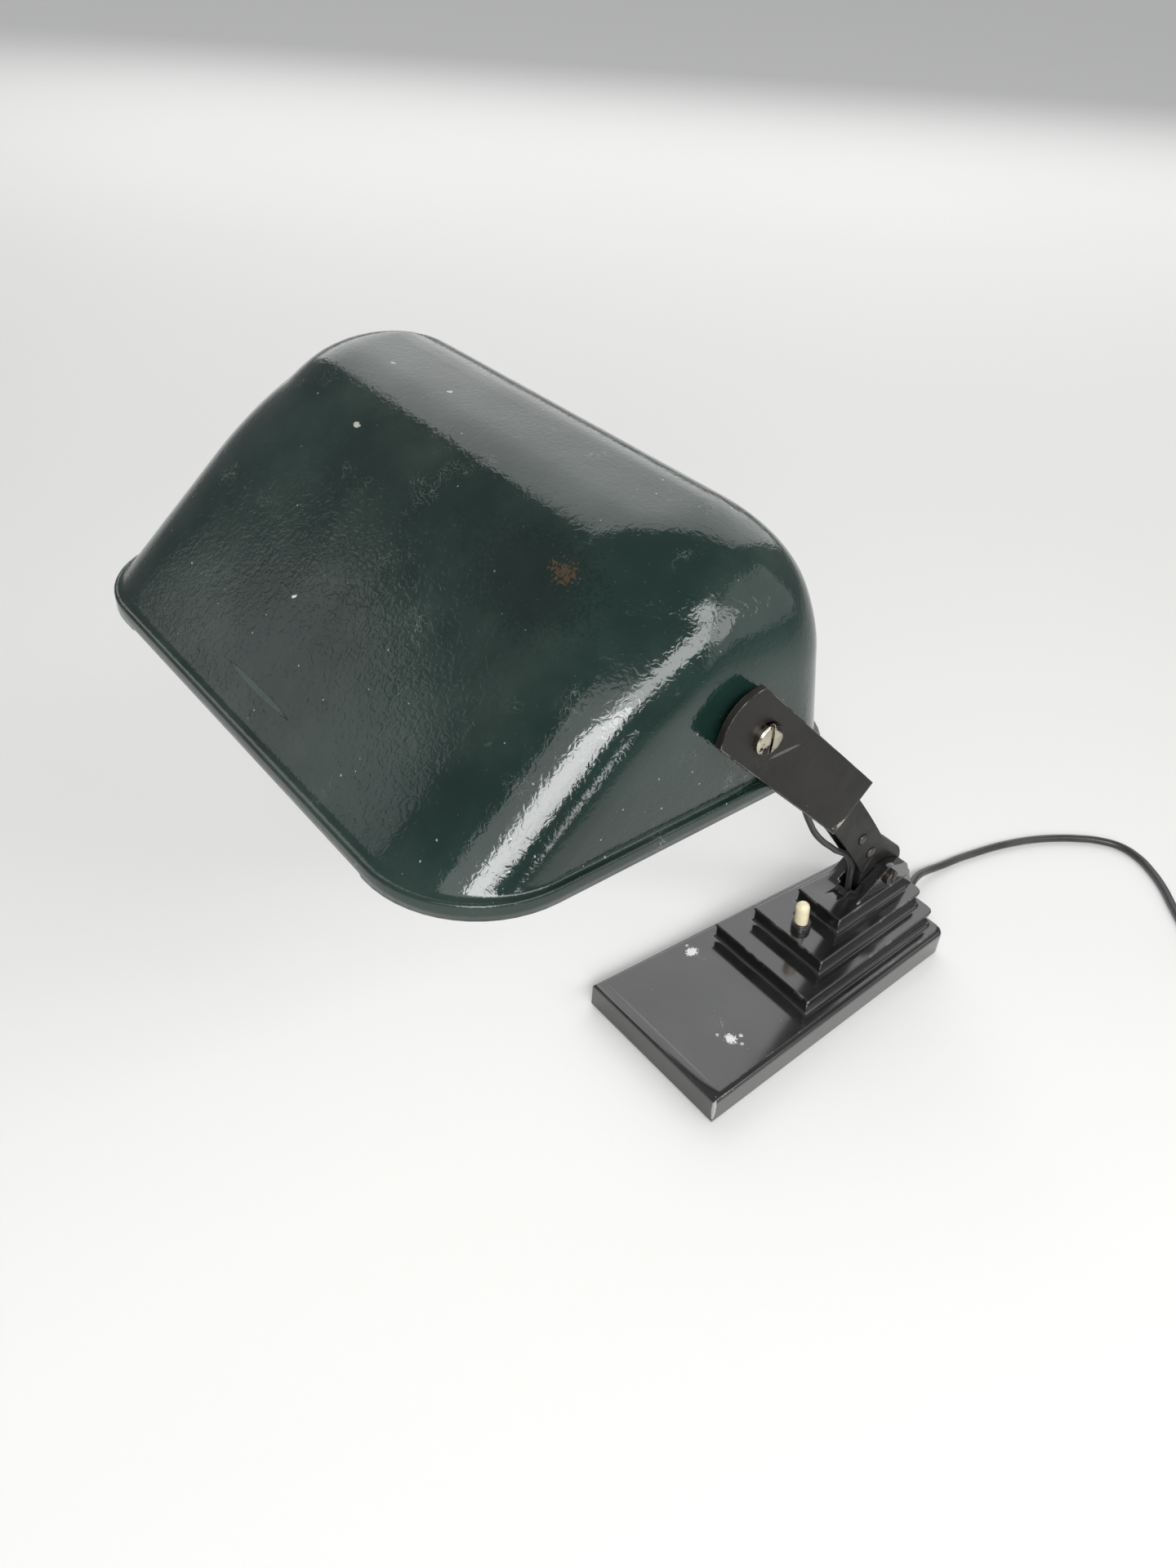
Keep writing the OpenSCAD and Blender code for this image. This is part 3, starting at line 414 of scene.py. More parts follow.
@dataclass(frozen=True)
class Enamel(Finish):
    """Sprayed or stoved paint on metal, with worn edges, chips, scratches, dust and placed marks, some of them painted
    highlights.
    """

    under: Colour = (0.32, 0.3, 0.27)
    rough: float = 0.2
    rough_spread: float = 0.12
    peel: float = 260.0
    peel_depth: float = 0.00004
    wave: float = 25.0
    wave_depth: float = 0.0003
    edge: float = 0.0006
    edge_wear: float = 0.2
    chip_share: float = 0.02
    chip_scale: float = 220.0
    chip_colour: Colour = (0.6, 0.6, 0.56)
    chip_depth: float = 0.00006
    speck_share: float = 0.02
    scratch: float = 0.25
    dust: float = 0.15
    shade_shift: float = 0.25
    metal_wear: float = 0.6
    coat: float = 0.0
    specular: float = 0.5
    marks: tuple[Mark, ...] = ()

    def sockets(self, g: Graph, place: Socket, effects: Effects) -> dict[str, Any]:
        """Works out the paint's inputs.

        Args:
            g: The material's graph.
            place: The object coordinates.
            effects: The shared effects.

        Returns:
            A value or a socket for each named input.
        """
        edges = g.effect(effects.edges, Vector=place, Radius=self.edge, Amount=self.edge_wear).outputs
        chips = g.effect(effects.chips, Vector=place, Scale=self.chip_scale, Share=self.chip_share).outputs[0]
        specks = g.effect(effects.chips, Vector=place, Scale=SPECK_SCALE, Size=0.24, Share=self.speck_share).outputs[0]
        lines = g.effect(effects.scratches, Vector=place, Scale=SCRATCH_SCALE, Share=self.scratch).outputs[0]
        dust = g.effect(effects.dust, Vector=place, Amount=self.dust).outputs[0]
        peel = g.effect(effects.peel, Vector=place, Scale=self.peel, Depth=self.peel_depth, Wave_Scale=self.wave,
                        Wave_Depth=self.wave_depth).outputs[0]
        cloud = g.span(g.noise(place, 14.0, 4.0, 0.6), 0.3, 0.7)
        lighter = tuple(min(1.0, c * (1 + self.shade_shift) + 0.002) for c in self.colour)
        darker = tuple(c * (1 - self.shade_shift) for c in self.colour)
        colour = g.mix(cloud, darker, lighter)
        colour = g.mix(g.times(lines, 0.35), colour, self.under)
        colour = g.mix(edges["Mask"], colour, self.under)
        colour = g.mix(g.times(specks, 0.4), colour, self.chip_colour)
        colour = g.mix(chips, colour, self.chip_colour)
        smudge = g.span(g.noise(place, 38.0, 5.0, 0.65, 0.4), 0.3, 0.75, 0.0, self.rough_spread)
        rough = g.math("MAXIMUM", g.plus(smudge, self.rough), g.times(chips, 0.6))
        rough = g.plus(rough, g.times(lines, 0.15))
        height = g.minus(peel, g.times(chips, self.chip_depth))
        # Placed marks: chips, stains and wear, and on the casting and the yoke also painted highlights along edges and
        # bends.
        for spot in self.marks:
            mask = g.effect(effects.mark, Vector=place, Centre=metres(spot.centre), Reach=metres(spot.reach),
                            Ragged=spot.ragged).outputs[0]
            shown = g.times(mask, spot.share)
            colour = g.mix(shown, colour, spot.colour)
            rough = g.add("ShaderNodeMix", {0: shown, 2: rough, 3: spot.rough}, data_type="FLOAT").outputs[0]
            if spot.depth:
                height = g.minus(height, g.times(mask, spot.depth * MM))
        return {"Base Color": g.mix(dust, colour, DUST_COLOUR),
                "Roughness": g.plus(rough, g.times(dust, 0.5), clamp=True),
                "Normal": g.bump(height, edges["Normal"]),
                "Metallic": g.times(edges["Mask"], self.metal_wear),
                "Specular IOR Level": self.specular, "Coat Weight": self.coat, "Coat Roughness": self.rough}


@dataclass(frozen=True)
class BareMetal(Finish):
    """Turned, stamped or plated metal, with tarnish and fine turning lines."""

    tarnish: Colour = (0.2, 0.15, 0.08)
    tarnish_share: float = 0.4
    tarnish_edge: float = 0.18
    rough: float = 0.28
    lines: float = 0.00001
    ring_centre: Point | None = None
    edge: float = 0.0003

    def sockets(self, g: Graph, place: Socket, effects: Effects) -> dict[str, Any]:
        """Works out the metal's inputs.

        Args:
            g: The material's graph.
            place: The object coordinates.
            effects: The shared effects.

        Returns:
            A value or a socket for each named input.
        """
        edges = g.effect(effects.edges, Vector=place, Radius=self.edge, Amount=0.5).outputs
        stain = g.noise(place, 160.0, 5.0, 0.65)
        level = 0.72 - 0.4 * self.tarnish_share
        dull = g.span(stain, level, level + self.tarnish_edge)
        fresh = tuple(min(1.0, c * 1.25) for c in self.colour)
        colour = g.mix(g.times(edges["Mask"], 0.6), g.mix(dull, self.colour, self.tarnish), fresh)
        if self.ring_centre is None:
            drawn = g.add("ShaderNodeMapping", {"Vector": place, "Scale": (1.0, 0.08, 1.0)})
            fine = g.noise(drawn.outputs[0], 2600.0, 2.0)
        else:
            centred = g.add("ShaderNodeMapping", {"Vector": place,
                                                  "Location": tuple(-c * MM for c in self.ring_centre)})
            fine = g.add("ShaderNodeTexWave", {"Vector": centred.outputs[0], "Scale": 900.0, "Distortion": 0.4,
                                               "Detail": 1.0}, wave_type="RINGS", rings_direction="X").outputs["Fac"]
        height = g.times(g.plus(fine, g.times(stain, 2.0)), self.lines)
        return {"Base Color": colour, "Roughness": g.plus(g.times(dull, 0.25), self.rough),
                "Normal": g.bump(height, edges["Normal"]), "Metallic": 1.0}


@dataclass(frozen=True)
class Moulded(Finish):
    """Moulded, glazed or rubber stuff, with mottling, fine pits and some handling marks."""

    second: Colour = (0.1, 0.1, 0.1)
    second_share: float = 0.3
    rough: float = 0.35
    mottle: float = 60.0
    pits: float = 900.0
    pit_depth: float = 0.00001
    coat: float = 0.0
    dust: float = 0.1
    edge: float = 0.0004
    subsurface: float = 0.0

    def sockets(self, g: Graph, place: Socket, effects: Effects) -> dict[str, Any]:
        """Works out the moulding's inputs.

        Args:
            g: The material's graph.
            place: The object coordinates.
            effects: The shared effects.

        Returns:
            A value or a socket for each named input.
        """
        edges = g.effect(effects.edges, Vector=place, Radius=self.edge, Amount=0.25).outputs
        dust = g.effect(effects.dust, Vector=place, Amount=self.dust).outputs[0]
        level = 0.75 - 0.5 * self.second_share
        colour = g.mix(g.span(g.noise(place, self.mottle, 5.0, 0.6), level, level + 0.25), self.colour, self.second)
        handled = g.span(g.noise(place, 3.0 * self.mottle, 4.0, 0.6), 0.35, 0.7, 0.0, 0.15)
        height = g.times(g.noise(place, self.pits, 3.0, 0.6), self.pit_depth)
        inputs = {"Base Color": g.mix(dust, colour, DUST_COLOUR),
                  "Roughness": g.plus(g.plus(handled, self.rough), g.times(dust, 0.4), clamp=True),
                  "Normal": g.bump(height, edges["Normal"]), "Coat Weight": self.coat, "Coat Roughness": 0.08}
        if self.subsurface:
            inputs |= {"Subsurface Weight": self.subsurface, "Subsurface Scale": 0.002}
        return inputs


@dataclass(frozen=True)
class Sleeve(Finish):
    """The outer sleeve of a flex or cord: slightly uneven, with dust and a soft sheen."""

    rough: float = 0.38
    sheen: float = 0.15
    dusty: Colour = (0.12, 0.12, 0.12)

    def sockets(self, g: Graph, place: Socket, effects: Effects) -> dict[str, Any]:
        """Works out the sleeve's inputs.

        Args:
            g: The material's graph.
            place: The object coordinates.
            effects: The shared effects.

        Returns:
            A value or a socket for each named input.
        """
        cloud = g.span(g.noise(place, 35.0, 4.0, 0.6), 0.35, 0.8)
        specks = g.effect(effects.chips, Vector=place, Scale=900.0, Size=0.35, Share=0.12).outputs[0]
        film = g.plus(g.times(cloud, 0.35), g.times(specks, 0.3))
        grain = g.plus(g.noise(place, 1500.0, 2.0), g.times(g.noise(place, 120.0, 2.0), 3.0))
        return {"Base Color": g.mix(film, self.colour, self.dusty),
                "Roughness": g.plus(g.times(cloud, 0.14), self.rough),
                "Normal": g.bump(g.times(grain, 0.00003)), "Sheen Weight": self.sheen}


@dataclass(frozen=True)
class Felt(Finish):
    """Pressed felt with short fuzz."""

    def sockets(self, g: Graph, place: Socket, effects: Effects) -> dict[str, Any]:
        """Works out the felt's inputs.

        Args:
            g: The material's graph.
            place: The object coordinates.
            effects: The shared effects.

        Returns:
            A value or a socket for each named input.
        """
        fibre = g.noise(place, 1800.0, 5.0, 0.75, 1.5)
        pale = tuple(c * 1.9 for c in self.colour)
        return {"Base Color": g.mix(g.span(fibre, 0.35, 0.65), self.colour, pale),
                "Roughness": g.span(fibre, 0.3, 0.7, 0.8, 1.0),
                "Normal": g.bump(g.times(fibre, 0.0002)), "Sheen Weight": 0.4}


@dataclass(frozen=True)
class Opal(Finish):
    """Opal-coated glass that scatters the light inside it."""

    def sockets(self, g: Graph, place: Socket, effects: Effects) -> dict[str, Any]:
        """Works out the glass's inputs.

        Args:
            g: The material's graph.
            place: The object coordinates.
            effects: The shared effects.

        Returns:
            A value or a socket for each named input.
        """
        cloud = g.span(g.noise(place, 70.0, 3.0), 0.3, 0.7)
        return {"Base Color": g.mix(cloud, self.colour, tuple(c * 0.9 for c in self.colour)),
                "Roughness": g.span(g.noise(place, 300.0, 3.0), 0.3, 0.7, 0.22, 0.34),
                "Normal": g.bump(g.times(g.noise(place, 500.0, 2.0), 0.00001)),
                "Subsurface Weight": 0.4, "Subsurface Scale": 0.008, "Coat Weight": 0.6}


@dataclass(frozen=True)
class PaleFloor(Finish):
    """A plain pale matt floor that glows a little far out, so that it stays pale where the lights don't reach."""

    def sockets(self, g: Graph, place: Socket, effects: Effects) -> dict[str, Any]:
        """Works out the floor's inputs.

        Args:
            g: The material's graph.
            place: The object coordinates.
            effects: The shared effects.

        Returns:
            A value or a socket for each named input.
        """
        tint = g.span(g.noise(place, 1.5, 2.0), 0.3, 0.7)
        rays = g.add("ShaderNodeLightPath").outputs
        mirrored = g.math("MAXIMUM", rays["Is Glossy Ray"], rays["Is Transmission Ray"])
        seen = g.math("MAXIMUM", rays["Is Camera Ray"], mirrored)
        far = g.span(g.vector("LENGTH", place).outputs["Value"], 0.6, 3.2, 0.0, 0.22)
        return {"Base Color": g.mix(tint, self.colour, tuple(c * 0.985 for c in self.colour)), "Roughness": 0.65,
                "Emission Color": rgba((1.0, 1.0, 1.0)), "Emission Strength": g.times(seen, far)}


# What the arm's and the yoke's worn satin paints have in common.
SATIN = {"peel": 500.0, "peel_depth": 0.00004, "wave": 60.0, "wave_depth": 0.00008, "edge": 0.0006,
         "chip_share": 0.03, "metal_wear": 0.6}


class Surface(Enum):
    """Every finish on the lamp."""

    SHADE_OUTSIDE = Enamel(
        "shade_green_gloss", (0.0068, 0.0195, 0.0158), under=(0.36, 0.38, 0.35), rough=0.06, rough_spread=0.09,
        peel=430.0, peel_depth=0.00009, wave=44.0, wave_depth=0.00015, edge=0.0007, edge_wear=0.14,
        chip_share=0.012, chip_scale=170.0, speck_share=0.035, scratch=0.4, dust=0.07, metal_wear=0.3,
        marks=(
            Mark((62.0, -238.0, 372.0), (24.0, 15.0, 14.0), (0.0035, 0.0105, 0.0085), 0.24, 1.6, 0.0, 0.55),
            Mark((70.7, -233.3, 376.8), (3.3, 2.3, 2.3), (0.1, 0.05, 0.022), 0.4, 4.6, 0.0, 0.5),
            Mark((-40.8, -231.9, 378.0), (1.8, 1.0, 1.0), (0.4, 0.4, 0.36), 0.6, 0.8),
            Mark((-25.0, -206.3, 387.6), (1.2, 1.3, 2.5), (0.45, 0.45, 0.4), 0.6, 0.8),
            Mark((-56.0, -208.2, 387.4), (1.5, 0.9, 2.5), (0.4, 0.4, 0.36), 0.6, 0.8),
            Mark((0.0, -294.8, 322.0), (19.0, 0.9, 1.2), (0.05, 0.08, 0.07), 0.3, 0.3, 0.12, 0.5),
        ))
    SHADE_INSIDE = Enamel(
        "shade_white_enamel", (0.78, 0.77, 0.72), under=(0.4, 0.36, 0.3), rough=0.35, rough_spread=0.15,
        peel=380.0, peel_depth=0.00005, edge=0.0004, edge_wear=0.05, chip_share=0.006,
        chip_colour=(0.12, 0.1, 0.08), scratch=0.1, dust=0.05, shade_shift=0.05)
    CASTING = Enamel(
        "base_stoved_black", (0.0085, 0.0087, 0.009), under=(0.5, 0.5, 0.48), rough=0.11, rough_spread=0.07,
        peel=260.0, peel_depth=0.000012, wave=40.0, wave_depth=0.00008, edge=0.001, edge_wear=0.26,
        chip_share=0.012, chip_scale=150.0, speck_share=0.012, scratch=0.22, dust=0.05, metal_wear=0.2, coat=0.8,
        marks=(
            Mark((-35.6, -38.0, 17.8), (3.0, 3.9, 1.4), (0.66, 0.66, 0.64), 0.7, 1.2, 0.1),
            Mark((24.9, -64.4, 17.8), (3.4, 3.0, 1.4), (0.66, 0.66, 0.64), 0.7, 1.6, 0.1),
            Mark((26.5, -58.5, 17.8), (1.2, 1.2, 1.2), (0.5, 0.5, 0.48), 0.7, 1.0),
            Mark((31.0, -62.0, 17.8), (1.0, 1.3, 1.2), (0.4, 0.4, 0.38), 0.7, 1.0),
            Mark((18.5, -68.5, 17.8), (1.0, 0.9, 1.2), (0.4, 0.4, 0.38), 0.7, 1.0),
            Mark((-41.0, -37.0, 17.8), (0.9, 0.9, 1.2), (0.4, 0.4, 0.38), 0.7, 1.0),
            # Pale line down the front-right corner: worn paint, with a painted highlight along the vertical edge.
            Mark((50.3, -99.8, 11.0), (1.5, 1.5, 8.5), (0.42, 0.42, 0.4), 0.35, 0.8, 0.0, 0.85),
            # Painted highlights: pale lines along the slab's right top edge.
            Mark((50.0, -89.0, 17.2), (1.1, 9.0, 1.2), (0.3, 0.3, 0.29), 0.35, 0.9, 0.0, 0.7),
            Mark((48.6, -50.0, 17.3), (0.8, 22.0, 0.9), (0.16, 0.16, 0.155), 0.3, 0.9, 0.0, 0.6),
            # Painted highlight: a pale line across the pad where its front nose starts to fall.
            Mark((0.0, -93.6, 17.8), (47.0, 0.55, 1.2), (0.1, 0.1, 0.098), 0.3, 0.5, 0.0, 0.5),
            # Painted highlights: short pale lines down the mitred corners of the three steps.
            Mark((37.1, -19.0, 24.5), (1.2, 1.2, 4.2), (0.34, 0.34, 0.33), 0.35, 0.9, 0.0, 0.7),
            Mark((26.8, 0.4, 35.2), (1.2, 1.2, 4.0), (0.3, 0.3, 0.29), 0.35, 0.9, 0.0, 0.6),
            Mark((16.4, 24.0, 45.8), (1.2, 1.2, 4.0), (0.3, 0.3, 0.29), 0.35, 0.9, 0.0, 0.6),
        ))
    ARM = Enamel(
        "arm_worn_satin", (0.009, 0.0085, 0.008), under=(0.22, 0.2, 0.18), rough=0.34, rough_spread=0.16,
        edge_wear=0.3, chip_colour=(0.2, 0.18, 0.16), scratch=0.35, dust=0.06, specular=0.25, **SATIN)
    YOKE = Enamel(
        "yoke_worn_satin", (0.0095, 0.009, 0.0078), under=(0.3, 0.27, 0.23), rough=0.4, rough_spread=0.14,
        edge_wear=0.38, chip_colour=(0.22, 0.2, 0.17), scratch=0.3, dust=0.08, specular=0.15, **SATIN,
        marks=(
            Mark((121.7, -152.0, 285.5), (4.0, 7.5, 1.6), (0.34, 0.31, 0.27), 0.42, 0.9, 0.0, 0.85),
            # Painted highlights: lighter bands across both legs at their bend, 13 mm from the tilt screws towards the
            # cross strip.
            Mark((120.0, -189.6, 328.5), (4.0, 7.0, 0.7), (0.16, 0.15, 0.14), 0.3, 0.3, 0.0, 0.4),
            Mark((-120.0, -189.6, 328.5), (4.0, 7.0, 0.7), (0.16, 0.15, 0.14), 0.3, 0.3, 0.0, 0.4),
        ))
    FELT = Felt("felt_green", (0.022, 0.042, 0.03))
    PLATE = BareMetal("plate_bright_steel", (0.5, 0.5, 0.5), tarnish=(0.24, 0.2, 0.16), rough=0.34)
    STEEL = BareMetal("plain_steel", (0.5, 0.49, 0.46), tarnish=(0.2, 0.17, 0.13), rough=0.32)
    DARK_STEEL = BareMetal(
        "dark_steel", (0.11, 0.1, 0.09), tarnish=(0.035, 0.028, 0.022), tarnish_share=0.6, rough=0.36)
    BRASS = BareMetal("dull_brass", (0.62, 0.47, 0.2), tarnish=(0.26, 0.18, 0.08), rough=0.3)
    NICKEL = BareMetal(
        "nickel_worn_to_brass", (0.46, 0.42, 0.34), tarnish=(0.018, 0.013, 0.009), tarnish_share=0.58,
        tarnish_edge=0.05, rough=0.16, lines=0.00003, ring_centre=(0.0, -198.8, 337.7))
    ALUMINIUM = BareMetal("thin_aluminium", (0.8, 0.8, 0.79), tarnish=(0.5, 0.5, 0.48), rough=0.3)
    BAKELITE = Moulded("dark_moulding", (0.03, 0.018, 0.014), second=(0.06, 0.03, 0.02), rough=0.25, coat=0.3)
    COLLAR = Moulded("collar_black", (0.018, 0.018, 0.019), second=(0.035, 0.033, 0.03), rough=0.2, coat=0.5)
    IVORY = Moulded(
        "ivory_button", (0.76, 0.68, 0.46), second=(0.66, 0.54, 0.3), second_share=0.45, rough=0.22, mottle=130.0,
        coat=0.5, dust=0.05, subsurface=0.15)
    CERAMIC = Moulded("glazed_ceramic", (0.83, 0.81, 0.75), second=(0.74, 0.71, 0.64), rough=0.15, coat=0.7, dust=0.08)
    FIBRE = Moulded("black_fibre", (0.02, 0.019, 0.018), second=(0.05, 0.045, 0.04), rough=0.6, pits=1400.0,
                    pit_depth=0.00003)
    RUBBER = Moulded("black_rubber", (0.017, 0.017, 0.018), second=(0.04, 0.04, 0.04), rough=0.45, pits=1100.0,
                     pit_depth=0.00002, dust=0.2)
    FLEX = Sleeve("flex_black", (0.012, 0.012, 0.013), rough=0.4, sheen=0.1, dusty=(0.06, 0.06, 0.06))
    CORD = Sleeve("cord_grey_black", (0.02, 0.02, 0.021), rough=0.33, sheen=0.15)
    GLASS = Opal("opal_glass", (0.9, 0.9, 0.86))
    FLOOR = PaleFloor("pale_floor", (0.78, 0.775, 0.76))


class Paintbox:
    """Builds each material the first time that it is asked for, and keeps it."""

    def __init__(self) -> None:
        """Builds the shared effects."""
        self.effects = Effects()
        self.made: dict[Surface, bpy.types.Material] = {}

    def get(self, surface: Surface) -> bpy.types.Material:
        """Looks up a material, and builds it where it is new.

        Args:
            surface: The finish.

        Returns:
            The material of the finish.
        """
        if surface not in self.made:
            self.made[surface] = surface.value.build(self.effects)
        return self.made[surface]


# ------------------------------------------------------------- making shapes


def turns(edge: bmesh.types.BMEdge, sharp: float) -> bool:
    """Returns whether an edge between two faces turns further than an angle in degrees."""
    return len(edge.link_faces) == 2 and edge.calc_face_angle(0.0) > math.radians(sharp)


def adopt(name: str, bm: bmesh.types.BMesh, surfaces: Sequence[Surface], paint: Paintbox, sharp: float = 35.0,
          tidy: bool = True) -> bpy.types.Object:
    """Turns a bmesh in millimetres into a finished object.

    Args:
        name: The piece's name.
        bm: The shape; it is freed here.
        surfaces: One finish for each material number.
        paint: Where the materials come from.
        sharp: Edges that turn further than this angle in degrees stay sharp.
        tidy: Whether doubles are merged and normals turned outwards first.

    Returns:
        The object, linked to the scene.
    """
    if tidy:
        bmesh.ops.remove_doubles(bm, verts=bm.verts, dist=MERGE)
        bmesh.ops.recalc_face_normals(bm, faces=bm.faces)
    bmesh.ops.scale(bm, vec=(MM, MM, MM), verts=bm.verts)
    for face in bm.faces:
        face.smooth = True
    for edge in bm.edges:
        edge.smooth = not turns(edge, sharp)
    mesh = bpy.data.meshes.new(name)
    bm.to_mesh(mesh)
    bm.free()
    for surface in surfaces:
        mesh.materials.append(paint.get(surface))
    piece = bpy.data.objects.new(name, mesh)
    bpy.context.scene.collection.objects.link(piece)
    LOG.info("%s: %d faces", name, len(mesh.polygons))
    return piece


def settle(piece: bpy.types.Object, body: str | None, slot: str, *nodes: str) -> bpy.types.Object:
    """Puts a piece on its body in place of its CAD nodes.

    Args:
        piece: The piece.
        body: The body that it rides on, or None for a piece that lies between two bodies and rides on neither.
        slot: The name of a material slot; not used.
        nodes: The CAD nodes that it stands for.

    Returns:
        The piece.
    """
    if body is not None:
        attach(piece, body)
    if nodes:
        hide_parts(*nodes)
    return piece


def draw_out(bm: bmesh.types.BMesh, verts: Sequence[bmesh.types.BMVert], edges: Sequence[bmesh.types.BMEdge],
             points: Sequence[Point]) -> tuple[list[bmesh.types.BMVert], list[bmesh.types.BMEdge]]:
    """Extrudes a line of edges and moves the new vertices onto points.

    Args:
        bm: The shape.
        verts: The line's vertices.
        edges: The line's edges.
        points: Where each of the new vertices goes, in the order of verts.

    Returns:
        The new vertices, in the same order, and the new edges.
    """
    grown = bmesh.ops.extrude_edge_only(bm, edges=edges)["geom"]
    fresh = {v for v in grown if isinstance(v, bmesh.types.BMVert)}
    edges = [e for e in grown if isinstance(e, bmesh.types.BMEdge) and all(v in fresh for v in e.verts)]
    verts = [next(e.other_vert(v) for e in v.link_edges if e.other_vert(v) in fresh) for v in verts]
    for vert, point in zip(verts, points):
        vert.co = point
    return verts, edges


def open_line(bm: bmesh.types.BMesh,
              points: Sequence[Point]) -> tuple[list[bmesh.types.BMVert], list[bmesh.types.BMEdge]]:
    """Starts a shape with the vertices and edges of an open line."""
    verts = [bm.verts.new(point) for point in points]
    return verts, [bm.edges.new(pair) for pair in zip(verts, verts[1:])]


def loft(rings: Sequence[Sequence[Vector]], cap_start: bool = True, cap_end: bool = True) -> bmesh.types.BMesh:
    """Extrudes one closed outline through the others.

    Args:
        rings: Outlines with the same number of points, in order.
        cap_start: Whether the first outline is closed by a face.
        cap_end: Whether the last one is.

    Returns:
        The shape.
    """
    bm = bmesh.new()
    verts = bmesh.ops.create_circle(bm, segments=len(rings[0]), radius=1.0)["verts"]
    for vert, point in zip(verts, rings[0]):
        vert.co = point
    edges = list(bm.edges)
    if cap_start:
        bmesh.ops.contextual_create(bm, geom=edges)
    for ring in rings[1:]:
        verts, edges = draw_out(bm, verts, edges, ring)
    if cap_end:
        bmesh.ops.contextual_create(bm, geom=edges)
    return bm


def spun(profile: Profile, steps: int = 48) -> bmesh.types.BMesh:
    """Spins a profile about the Z axis, and closes its poles.

    Args:
        profile: Pairs of radius and height.
        steps: How many steps a full turn has.

    Returns:
        The shape.
    """
    bm = bmesh.new()
    verts, edges = open_line(bm, [(r, 0.0, z) for r, z in profile])
    bmesh.ops.spin(bm, geom=verts + edges, cent=(0, 0, 0), axis=(0, 0, 1), angle=2 * math.pi, steps=steps,
                   use_merge=True, use_duplicate=False)
    bmesh.ops.remove_doubles(bm, verts=bm.verts, dist=MERGE)
    return bm


def lay_back(bm: bmesh.types.BMesh, place: Point) -> None:
    """Turns a shape from +Z to +Y and moves it to a place."""
    turned = Matrix.Translation(place) @ Matrix.Rotation(math.radians(-90), 4, "X")
    bmesh.ops.transform(bm, matrix=turned, verts=bm.verts)


def arc(centre: Pair, radius: float, start: float, end: float, steps: int) -> list[Pair]:
    """Lists points along an arc.

    Args:
        centre: Its centre.
        radius: Its radius.
        start: The first point's angle in degrees.
        end: The last point's angle.
        steps: How many steps lie between them.

    Returns:
        One point more than there are steps.
    """
    angles = [math.radians(start + (end - start) * i / steps) for i in range(steps + 1)]
    return [(centre[0] + radius * math.cos(angle), centre[1] + radius * math.sin(angle)) for angle in angles]


@dataclass(frozen=True)
class Part:
    """A CAD node that is shown as it is: its name, finish, material slot, bevel in millimetres and sharp angle."""

    node: str
    surface: Surface
    slot: str
    round_edges: float = 0.0
    sharp: float = 32.0


def merged_copy(part: Part, body: str, paint: Paintbox) -> bpy.types.Object:
    """Makes a merged, smooth-shaded copy of a CAD node and lets it stand for the node.

    Args:
        part: The node and how it is dressed.
        body: The body that the piece rides on.
        paint: Where the material comes from.

    Returns:
        The piece.
    """
    bm = bmesh.new()
    bm.from_mesh(FRAME["nodes"][part.node].data)
    bmesh.ops.scale(bm, vec=(1 / MM, 1 / MM, 1 / MM), verts=bm.verts)
    bmesh.ops.remove_doubles(bm, verts=bm.verts, dist=0.0005)
    bmesh.ops.dissolve_limit(bm, angle_limit=math.radians(0.2), verts=bm.verts, edges=bm.edges, delimit={"NORMAL"})
    if part.round_edges:
        chosen = [e for e in bm.edges if turns(e, part.sharp)]
        bmesh.ops.bevel(bm, geom=chosen, offset=part.round_edges, segments=2, profile=0.5, affect="EDGES",
                        material=-1, clamp_overlap=True)
    piece = adopt(f"{part.node}_dressed", bm, [part.surface], paint, part.sharp, tidy=False)
    flats = piece.modifiers.new("flats_stay_flat", "WEIGHTED_NORMAL")
    flats.mode, flats.weight, flats.keep_sharp = "FACE_AREA", 60, True
    return settle(piece, body, part.slot, part.node)


@dataclass
class Dressed:
    """A sub-assembly whose nodes are shown as they are."""

    body: str = ""
    parts: tuple[Part, ...] = ()

    def build(self, paint: Paintbox) -> None:
        """Dresses every part, in order.

        Args:
            paint: Where the materials come from.
        """
        for part in self.parts:
            merged_copy(part, self.body, paint)


# -------------------------------------------------------------------- studio


# Where the lights that shine on the lamp's head look, in metres.
HEAD = (0.08, -0.25, 0.36)


@dataclass(frozen=True)
class Softbox:
    """One soft light in metres: where it stands, where it looks, its size, its power and its roll in degrees."""

    name: str
    place: Point
    aim: Point
    size: Pair
    power: float
    roll: float = 0.0


